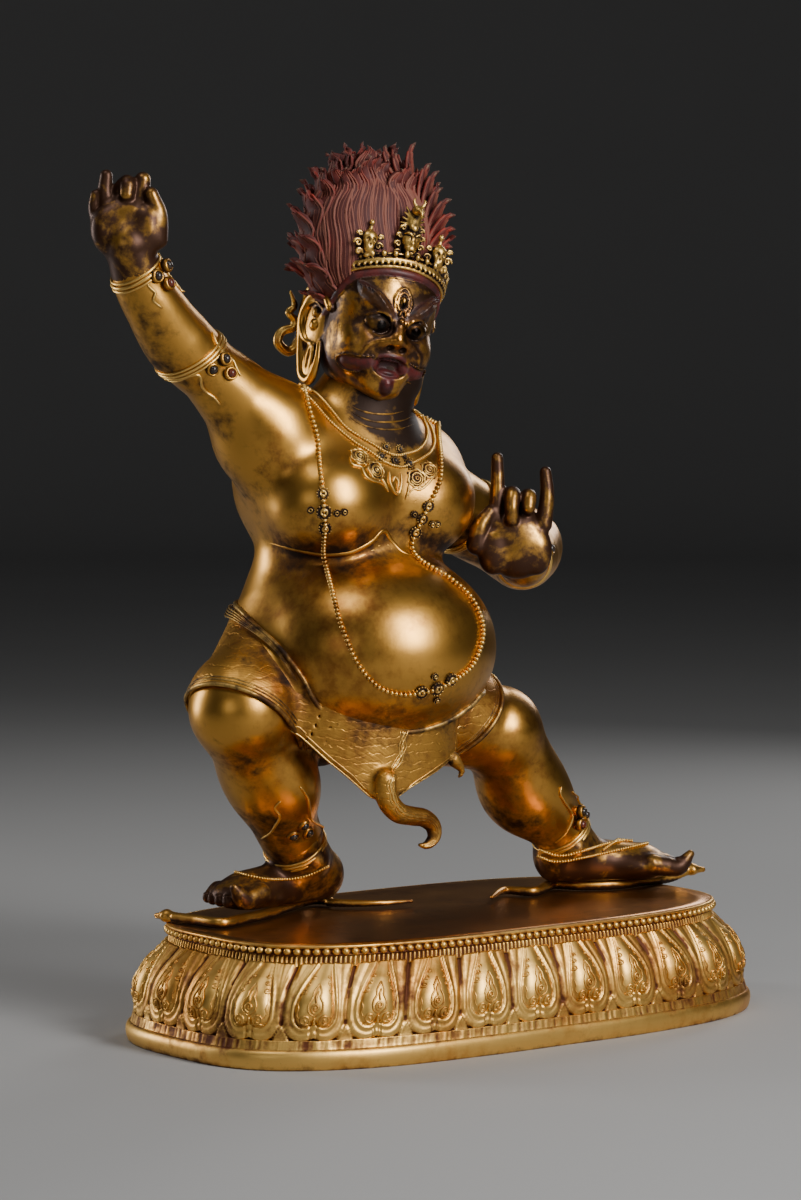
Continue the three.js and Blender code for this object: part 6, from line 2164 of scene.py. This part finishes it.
@dataclass
class FlameHair:
    """Red hair standing up like fire: a dome covered by bundles of wavy strands that end in points."""

    centre: Point = (-58, 23, 609)
    radii: Point = (54, 41, 60)
    front: float = -103.0
    seed: int = 11
    tips: Sequence[Point] = (
        (-31, -1, 689), (-49, 13, 687), (-60, 21, 687), (-43, 8, 681), (-69, 28, 680), (-76, 32, 675),
        (-84, 38, 673), (-90, 42, 662), (-97, 47, 653), (-101, 49, 641), (-108, 54, 632), (-113, 56, 612),
        (-116, 57, 592), (-22, -9, 673), (-17, -13, 667), (-15, -15, 654), (-10, -20, 645), (-8, -22, 633),
        (-8, -22, 622), (-10, -21, 608), (-15, -18, 592))

    def surface(self, turn: Array, lift: Array, off: Array | float = 0.0) -> tuple[Array, Array]:
        """Points on the dome by turn and lift in degrees, with their ways out."""
        turn, lift = np.radians(turn), np.radians(lift)
        way = np.stack([np.cos(lift) * np.cos(turn), np.cos(lift) * np.sin(turn), np.sin(lift)], -1)
        radii = np.asarray(self.radii, float)
        out = unit(way / radii)
        return np.asarray(self.centre) + way * radii + out * np.asarray(off)[..., None], out

    def bundle(self, shape: Shape, turn: float, start: float, end: float, aim: Array | float, width: float,
               phase: float, sides: int = 4) -> None:
        """One flame: strands side by side over the dome that meet in a raised point.

        Args:
            shape: Where the strands go.
            turn: The bundle's place round the dome, in degrees.
            start: The lift where it begins.
            end: The lift where it leaves the dome.
            aim: Where its point ends, or how far it reaches beyond the dome.
            width: Its full width.
            phase: Where its wave begins.
            sides: How many points go round a strand.
        """
        count = 20
        t = np.linspace(0, 1, count)
        on = np.clip(t / 0.7, 0, 1)
        spread = (turn - self.front + 180) % 360 - 180
        turns = turn + spread * 0.1 * (on - 1)
        base, out = self.surface(turns, start + (end - start) * on, 0.4 + 1.6 * on)
        free = np.clip((t - 0.7) / 0.3, 0, 1)[:, None]
        leaf = 1 - 0.96 * np.clip((t - 0.68) / 0.32, 0, 1) ** 1.6
        if np.ndim(aim) == 0:
            aim = base[-1] + unit(out[-1] * 0.8 + np.array([0.0, 0, 0.7])) * aim
        rising = unit(np.gradient(base, axis=0)[count // 2])
        reach = np.linalg.norm(aim - base[-1])
        curve = rising * reach * 0.5 * free * (1 - free)
        middle = base + (aim - base[-1]) * free + curve
        ahead = unit(np.gradient(middle, axis=0))
        across = unit(np.cross(ahead, out))
        wave = 1.9 * np.sin(phase + t * np.linspace(10, 15, count)) * ramp(0.0, 0.25, t)
        strands = max(3, int(round(width / 2.9)))
        blade = middle + across * wave[:, None] - out * 0.6
        points, quads, caps = tube(blade, np.maximum(strands * 1.35 * leaf, 0.5), out, 8, 0.28)
        # The blade's ridge value is 0, so it is painted in the dark shade beneath the strands.
        height = np.concatenate([np.zeros(len(points) - 2), [0, 0.5]])
        tip = np.concatenate([np.repeat(ramp(0.86, 1.0, t), 8), [0, 1]])
        shape.add(points, quads, caps, {"ridge": height, "tip": tip * 0.8})
        for k in range(strands):
            place = (k - (strands - 1) / 2) * 2.9
            line = middle + across * (place * leaf + wave)[:, None]
            line = line + out * (0.6 * np.cos(place * 0.4) * ramp(0.6, 0.9, t))[:, None]
            size = 1.5 * (1 - 0.62 * ramp(0.72, 1.0, t)) * (0.85 + 0.15 * np.cos(k * 2.4))
            cut = 0.98 if abs(place) < 1.6 else 0.9
            keep = max(6, int(count * cut))
            points, quads, caps = tube(line[:keep], size[:keep], out[:keep], sides, 1.15)
            way = np.repeat(out[:keep], sides, axis=0)
            height = ((points[:len(way)] - np.repeat(line[:keep], sides, axis=0)) * way).sum(1)
            # High on a strand's top, where it is paler, and low on its underside, which is painted dark as
            # shade.
            ridge = np.concatenate([ramp(-1.2, 1.6, height), [0, 0.6]])
            tip = np.concatenate([np.repeat(ramp(0.82, 1.0, t[:keep]), sides), [0, 1]])
            shape.add(points, quads, caps, {"ridge": ridge, "tip": tip})

    def build(self, shop: Workshop) -> None:
        """Make the dome and every bundle."""
        chance = np.random.default_rng(self.seed)
        dome = Clay([Ball(centre=self.centre, radii=np.asarray(self.radii) - 0.6, blend=2),
                     Ball(centre=(-58, 30, 575), radii=(44, 34, 40), blend=16)])
        skin = dome.skin(3.2)
        # The dome's ridge value is 0, so it is painted in the dark shade beneath the strands.
        shop.cover("hair_core", skin, {"ridge": np.zeros(len(skin.points))}, Finish.HAIR)
        tiers = (
            {"lift": (-84, -58), "count": 13, "length": 16, "skip": 66},
            {"lift": (-70, -40), "count": 15, "length": 18, "skip": 64},
            {"lift": (-56, -22), "count": 16, "length": 20, "skip": 66},
            {"lift": (-46, -4), "count": 17, "length": 20, "skip": 70},
            {"lift": (-36, 13), "count": 17, "length": 20, "skip": 76},
            {"lift": (-24, 29), "count": 16, "length": 21, "skip": 76},
            {"lift": (-12, 44), "count": 14, "length": 21, "skip": 70},
            {"lift": (2, 58), "count": 11, "length": 22, "skip": 60},
            {"lift": (20, 72), "count": 8, "length": 22, "skip": 60},
        )
        parts = [Shape(), Shape()]
        for row, tier in enumerate(tiers):
            start, end = tier["lift"]
            for i in range(tier["count"]):
                turn = self.front + 360 * (i + 0.5 * (row % 2)) / tier["count"] + chance.uniform(-3, 3)
                spread = abs((turn - self.front + 180) % 360 - 180)
                length = tier["length"] * chance.uniform(0.8, 1.2)
                if spread < tier["skip"]:
                    continue
                around = 2 * np.pi * 48 * np.cos(np.radians((start + end) / 2 * 0.6)) / tier["count"]
                width = min(around * 1.35, 19)
                self.bundle(parts[0], turn, start, end + chance.uniform(-3, 3), length, width,
                            turn * 0.04 + row)
        for turn in np.linspace(-66, 66, 12):
            end = 54 - 0.004 * turn * turn + chance.uniform(-6, 4)
            length = 17 * chance.uniform(0.85, 1.2)
            self.bundle(parts[1], self.front + turn, -32, end, length, 15, turn * 0.04)
        for tip in np.array(self.tips, float):
            way = (tip - self.centre) / self.radii
            turn = np.degrees(np.arctan2(way[1], way[0]))
            lift = np.degrees(np.arcsin(way[2] / np.linalg.norm(way)))
            self.bundle(parts[0], turn, max(lift - 90, -40), lift - 9, tip, 18, turn * 0.04)
        for name, part in zip(("hair_flames", "hair_front"), parts):
            shop.cast(name, part, Finish.HAIR)


@dataclass
class Crown:
    """The crown: a scrolled band, skulls, a face with a beaked figure over it, jewels and ear ribbons."""

    head: Head
    steps: dict[str, float] = field(default_factory=lambda: {"crown": 0.95, "ear_ribbons": 1.0})

    def band(self) -> list[Form]:
        """Two rolls with grains and little scrolls between them."""
        half = [(46, 9, 28), (45, -5, 37), (40.5, -17, 46), (25, -30.5, 54)]
        arch = [*half, (0, -35, 58), *[(-x, y, z) for x, y, z in reversed(half)]]
        forms: list[Form] = []
        for lift, size in ((-4.5, 1.5), (0.6, 2.6), (5.2, 1.2)):
            line = [(x, y + 0.12 * lift, z + lift) for x, y, z in arch]
            forms.append(Roll(points=line, radii=[size], spacing=3, blend=0.8))
        route = smooth_path(arch, 4.4)
        for i, place in enumerate(route):
            out = unit(place * [1, 1, 0.0])
            forms.append(Ball(centre=place + out * 1.8 + [0, 0, -1.8], radii=(1.5, 1.5, 1.5), blend=0.4))
            if i % 2:
                forms.append(Ball(centre=place + out * 1.6 + [0, 0, 5.4], radii=(2.2, 2, 2.6), blend=0.6))
        return forms

    def curl(self, centre: Point, size: float, way: float, thick: float) -> Form:
        """A small flat scroll that faces forward."""
        x, y, z = centre
        points = [(x + way * a, y, z + b) for a, b in spiral(0, 7.5, size, size * 0.22, 16)]
        return Roll(points=points, radii=[thick, thick * 0.8], spacing=1.4, blend=0.5)

    def skull(self, side: int) -> list[Form]:
        """A little skull with a ball on top, between scrolls."""
        x, y = (27.0 if side > 0 else -32.0), -27.5
        forms: list[Form] = [
            Ball(centre=(x, y, 70), radii=(6.6, 6, 6.4), blend=1),
            Ball(centre=(x, y - 1, 63.5), radii=(4.6, 4.8, 5.6), blend=2),
            Limb(start=(x, y + 1, 75), end=(x, y + 1, 80), start_radius=2.2, end_radius=1.3, blend=1),
            Ball(centre=(x, y + 1, 82), radii=(2.2, 2.2, 2.4), blend=0.6),
            Ball(centre=(x, y - 6, 65.4), radii=(0.9, 1.4, 1.6), blend=0.5, role=Role.CUT),
        ]
        for eye in (-1, 1):
            forms.append(Ball(centre=(x + eye * 2.7, y - 5.6, 69), radii=(1.7, 2, 1.9), blend=0.5,
                              role=Role.CUT))
            forms.append(self.curl((x + eye * 8.6, y - 0.5, 65), 3.4, eye, 1.1))
            forms.append(self.curl((x + eye * 6.8, y - 1.0, 58.4), 3.0, -eye, 1.1))
            forms.append(self.curl((x + eye * 8.6, y - 0.5, 72), 2.4, eye, 1.0))
        forms.append(Ball(centre=(x, y - 1, 57), radii=(3, 2.6, 2.4), blend=0.8))
        forms.append(Ball(centre=(x, y + 3, 64), radii=(9, 2, 9), blend=1))
        return forms

    def middle(self) -> list[Form]:
        """The centre face among curls, and the beaked and winged figure over it."""
        y = -31.5
        forms: list[Form] = [
            Ball(centre=(0, y + 4, 74), radii=(11, 4, 15), blend=1.5),
            Ball(centre=(0, y, 75), radii=(7.4, 6, 8), blend=1.2),
            Ball(centre=(0, y - 2.5, 68), radii=(5, 5, 4.4), blend=1.6),
            Ball(centre=(0, y - 5.6, 72.5), radii=(1.8, 2, 2.4), blend=1),
            Ball(centre=(0, y - 7.2, 66), radii=(3, 2, 1.1), blend=0.5, role=Role.CUT),
            Ball(centre=(0, y - 2, 84), radii=(3.6, 3.4, 3.4), blend=1),
            Ball(centre=(0, y + 2, 89), radii=(5.6, 5, 8), blend=2),
            Ball(centre=(0, y - 2, 98), radii=(4.6, 5, 4.2), blend=1.5),
            Roll(points=[(0, y - 5, 98.5), (0.5, y - 9.5, 96.5), (1, y - 10.5, 92.5)], radii=[2.6, 1.8, 0.6],
                 spacing=1.6, blend=1),
        ]
        for side in (-1, 1):
            forms.append(Ball(centre=(side * 3, y - 5.6, 76), radii=(1.6, 1.8, 1.4), blend=0.5,
                              role=Role.CUT))
            forms.append(Ball(centre=(side * 3, y - 4.6, 76), radii=(1, 1.2, 1), blend=0.3))
            brow = [(side * 1.2, y - 6, 78.4), (side * 4, y - 5.4, 80), (side * 7, y - 2.5, 79)]
            horn = [(side * 2.4, y - 3, 101), (side * 4.6, y - 2.6, 104), (side * 4, y - 2, 107)]
            forms.append(Roll(points=brow, radii=[0.8, 1.2, 0.6], spacing=1.5, blend=0.6))
            for height, out, size in ((83, 7.4, 2.6), (77, 9.2, 2.6), (70.5, 9.4, 2.8), (64, 8, 2.8),
                                      (59, 4.6, 2.4)):
                forms.append(self.curl((side * out, y + 0.6, height), size, side, 0.95))
            forms.append(Roll(points=horn, radii=[1.3, 1.2, 0.7], spacing=1.4, blend=0.8))
            forms.append(Ball(centre=(side * 2.5, y - 5.2, 99.6), radii=(1.1, 1, 1.1), blend=0.4))
            for feather in range(4):
                root = (side * 3, y + 1, 94 - feather * 2.5)
                tip = (side * (7.5 + feather * 0.7), y + 2.5, 99 - feather * 4)
                forms.append(Roll(points=[root, tip], radii=[1.8, 0.8], spacing=2, blend=0.6))
        return forms

    def jewels(self, side: int) -> list[Form]:
        """The side jewel in its frame and the rosette over the ear."""
        forms: list[Form] = [
            Ball(centre=(side * 44.5, -4, 49), radii=(3.6, 5.5, 7.4), blend=0.8),
            Roll(points=[(side * 45.5, -4 + 7.4 * np.cos(a), 49 + 9 * np.sin(a)) for a in
                         np.linspace(0, 2 * np.pi, 12, endpoint=False)], radii=[1.6], spacing=2, closed=True,
                 blend=0.8),
            Limb(start=(side * 45, -3, 58), end=(side * 45, -2.6, 65), start_radius=2.2, end_radius=0.7,
                 blend=1),
            Ball(centre=(side * 46, 13, 28), radii=(4, 9.4, 9.4), blend=1),
            Ball(centre=(side * 49.6, 13, 28), radii=(2, 3, 3), blend=0.5),
        ]
        for k in range(9):
            a = 2 * np.pi * k / 9
            forms.append(Ball(centre=(side * 48.4, 13 + 6.6 * np.cos(a), 28 + 6.6 * np.sin(a)),
                              radii=(1.8, 2.3, 2.3), blend=0.4))
        for y, z, size in ((4, 38, 3), (9, 42, 2.6), (-12, 52, 2.4), (0, 59, 2.2)):
            x = side * (47 - 0.12 * (z - 40))
            scroll = [(x, y + a, z + b) for a, b in spiral(0, 7, size, size * 0.25, 14)]
            forms.append(Roll(points=scroll, radii=[0.95], spacing=1.4, blend=0.5))
        return forms

    def ribbon(self, side: int) -> list[Form]:
        """The ribbon that falls behind an ear and curls up again, grooved along its length."""
        path = [(46, 19, 27), (46, 34, 21), (45, 42, 5), (43, 44, -8), (43, 44, -20), (49, 44, -28),
                (59, 44, -23), (58, 44, -14), (50, 43, -9), (50, 43, -3), (56, 43, 2), (52, 43, 8),
                (58, 43, 18)]
        row = [(side * x, y, z) for x, y, z in path]
        radii = [3.2, 3.6, 3.4, 3.4, 3.6, 4, 4, 3.8, 3.6, 3.4, 3, 2.4, 1]
        forms: list[Form] = [Roll(points=row, radii=radii, spacing=2.2, blend=1)]
        line = smooth_path(row, 2.2)
        ahead = unit(np.gradient(line, axis=0))
        across = unit(np.cross(ahead, [0.0, 1, 0]))
        sizes = through(radii, len(line))
        for place in (-0.5, 0.5):
            groove = line + across * (sizes * place)[:, None] - np.array([0, 1, 0]) * (sizes * 0.9)[:, None]
            forms.append(Roll(points=groove[3:-4:2], radii=[0.8], spacing=2.6, blend=0.8, role=Role.CUT))
        return forms

    def build(self, shop: Workshop) -> None:
        """Skin the crown and hand it over."""
        forms = [*self.band(), *self.middle()]
        for side in (-1, 1):
            forms += [*self.skull(side), *self.jewels(side)]
        for name, made in (("crown", forms), ("ear_ribbons", [*self.ribbon(-1), *self.ribbon(1)])):
            clay = Clay(made)
            skin = clay.skin(self.steps[name])
            # The hollow value paints shade and patina into the crown's recesses.
            paints = {"hollow": clay.hollows(skin, (1.6, 4.0, 9.0))}
            skin.points = self.head.onto_neck(skin.points)
            shop.cover(name, skin, paints, Finish.CROWN)


@dataclass
class Snakes:
    """The two snakes under the feet."""

    plate: float = 88.9
    radius: float = 4.2
    gap: float = 0.45

    @property
    def level(self) -> float:
        """The level of a snake's middle where it lies on the plate."""
        return self.plate + self.radius + self.gap

    def body_of(self, shape: Shape, flat: Sequence[Point], radii: Sequence[float]) -> None:
        """A snake's body along level points, its belly on the plate."""
        row = [(p[0], p[1], self.level + (p[2] if len(p) > 2 else 0)) for p in flat]
        line = smooth_path(row, 1.7)
        size = self.radius * through(radii, len(line))
        scales = 1 + 0.035 * np.cos(np.arange(len(line)) * np.pi)
        points, quads, caps = tube(line, size * scales, np.tile([0.0, 0, 1], (len(line), 1)), 12)
        # Painted shade: darker towards the belly, where the snake lies on the plate.
        shape.add(points, quads, caps, {"hollow": ramp(self.level + 3, self.level - 4, points[:, 2]) * 0.9})

    def head_of(self, shape: Shape, place: Point, ahead: Point, rise: float) -> None:
        """A flattened head with eyes and a mouth line."""
        way = unit(np.asarray([*ahead[:2], rise], float))
        side = unit(np.cross([0.0, 0, 1], way))
        up = np.cross(way, side)
        start = np.asarray(place, float)

        def on(forward: float, left: float, high: float) -> Array:
            """A point of the head."""
            return start + way * forward + side * left + up * high

        forms: list[Form] = [
            Limb(start=on(-3, 0, 0), end=on(6, 0, 0.4), start_radius=4, end_radius=4.6, blend=2),
            Limb(start=on(5, 0, 0.6), end=on(16, 0, -0.6), start_radius=4.8, end_radius=2.2, blend=3),
        ]
        for left in (-1, 1):
            forms.append(Ball(centre=on(6, left * 2.6, 0), radii=(3.4, 3.4, 3), blend=2))
            forms.append(Ball(centre=on(10, left * 2.6, 2.2), radii=(1.1, 1.1, 1.1), blend=0.4))
            forms.append(Limb(start=on(9, left * 3.9, -0.6), end=on(17.5, left * 1.2, -1.2), start_radius=0.5,
                              end_radius=0.5, blend=0.5, role=Role.CUT))
        clay = Clay(forms)
        skin = clay.skin(0.8)
        # The hollow value paints shade and patina into the head's recesses.
        shape.add(skin.points, skin.faces, paints={"hollow": clay.hollows(skin, (1.5, 4.0, 8.0))})

    def build(self, shop: Workshop) -> None:
        """Make both snakes."""
        right, left = Shape(), Shape()
        flat = [(-209, 44), (-202, 18), (-176, 26), (-149, 36), (-112, 58), (-76, 77), (-66, 66), (-70, 56),
                (-45, 33), (-15, 24)]
        self.body_of(right, [(-215, 64), *flat], [1, 1, 1, 1, 1, 0.95, 0.9, 0.8, 0.6, 0.3])
        self.head_of(right, (-215, 66, self.level + 0.2), (-4, 17), 0.02)
        floor = [(252, 2, 5), (236, 6), (205, 4), (176, 2), (150, 16), (135, 33), (98, 10), (82, 29), (49, 4)]
        self.body_of(left, floor, [1, 1, 1, 1, 1, 1, 0.9, 0.7, 0.35])
        self.head_of(left, (252, 2, self.level + 5.4), (15, -4), 0.5)
        for name, shape in (("snake_under_right_foot", right), ("snake_under_left_foot", left)):
            made = name.replace("snake", "gilt_snake", 1)
            shop.cast(made, shape, Finish.SNAKE, [name])


@dataclass
class Studio:
    """A plain pale floor that curves up into a backdrop all round, and plain soft light."""

    aim: Point = (-0.06, 0.0, 0.34)
    reach: float = 7.0
    sweep: float = 3.0
    height: float = 8.0
    lamps: Sequence[tuple[str, float, float, float, float, float, float]] = (
        ("key_softbox", 6.0, 26.0, 2.3, 0.55, 1.4, 62.0),
        ("left_rim", -146.0, 9.0, 2.1, 0.35, 1.1, 17.0),
        ("right_rim", 116.0, 22.0, 2.1, 0.4, 1.0, 9.0),
        ("top_light", -75.0, 66.0, 2.2, 0.7, 0.7, 9.0),
        ("low_fill", -60.0, 12.0, 2.6, 1.0, 1.0, 3.5),
    )

    def build(self) -> None:
        """Make the floor, the world and the lights."""
        turns = np.linspace(0, 90, 19)
        rise = [(self.reach + self.sweep * np.sin(np.radians(a)), self.sweep * (1 - np.cos(np.radians(a))))
                for a in turns]
        profile = [(0.02, 0.0), (self.reach * 0.5, 0.0), *rise, (self.reach + self.sweep, self.height)]
        sides = 96
        shape = Shape()
        angles = 2 * np.pi * np.arange(sides) / sides
        points = [(r * np.cos(a), r * np.sin(a), z) for r, z in profile for a in angles]
        shape.add(np.array(points) / MM, ring_faces(len(profile), sides)[:, ::-1])
        mesh = shape.mesh("floor")
        floor = bpy.data.objects.new("floor", mesh)
        bpy.context.scene.collection.objects.link(floor)
        shader = Shader("pale_floor")
        cloud = shader.noise(1.2, 2.0)
        colour = shader.mix(cloud, (0.31, 0.305, 0.30, 1), (0.34, 0.335, 0.33, 1))
        mesh.materials.append(shader.finish(colour, 0.8, 0.0))
        world = bpy.data.worlds.new("soft_grey")
        world.use_nodes = True
        background = world.node_tree.nodes["Background"]
        background.inputs[0].default_value = (0.95, 0.97, 1.0, 1)
        background.inputs[1].default_value = 0.05
        bpy.context.scene.world = world
        for name, turn, lift, away, wide, tall, power in self.lamps:
            data = bpy.data.lights.new(name, "AREA")
            data.shape = "RECTANGLE"
            data.size, data.size_y = wide, tall
            data.energy = power
            lamp = bpy.data.objects.new(name, data)
            right, up, back = view_axes(turn, lift)
            columns = np.stack([right, up, back, np.asarray(self.aim) + back * away], 1)
            lamp.matrix_world = Matrix([*columns.tolist(), [0, 0, 0, 1]])
            bpy.context.scene.collection.objects.link(lamp)


def main() -> None:
    """Build the statue on the loaded frame."""
    logging.basicConfig(level=logging.INFO, format="%(name)s %(message)s")
    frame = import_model()
    LENS.add_camera()
    shop = Workshop()
    Studio().build()
    Plinth().build(shop)
    body = Body()
    body.build(shop)
    Loincloth(body).build(shop)
    head = Head()
    head.build(shop)
    RIGHT_HAND.build(shop)
    LEFT_HAND.build(shop)
    RIGHT_FOOT.build(shop)
    LEFT_FOOT.build(shop)
    stones = sorted(name for name in frame["nodes"] if name.startswith("stone_"))
    Jewellery(body, stones).build(shop)
    FootChains(RIGHT_FOOT, LEFT_FOOT).build(shop)
    FlameHair().build(shop)
    Crown(head).build(shop)
    Snakes().build(shop)


if __name__ == "__main__":
    main()
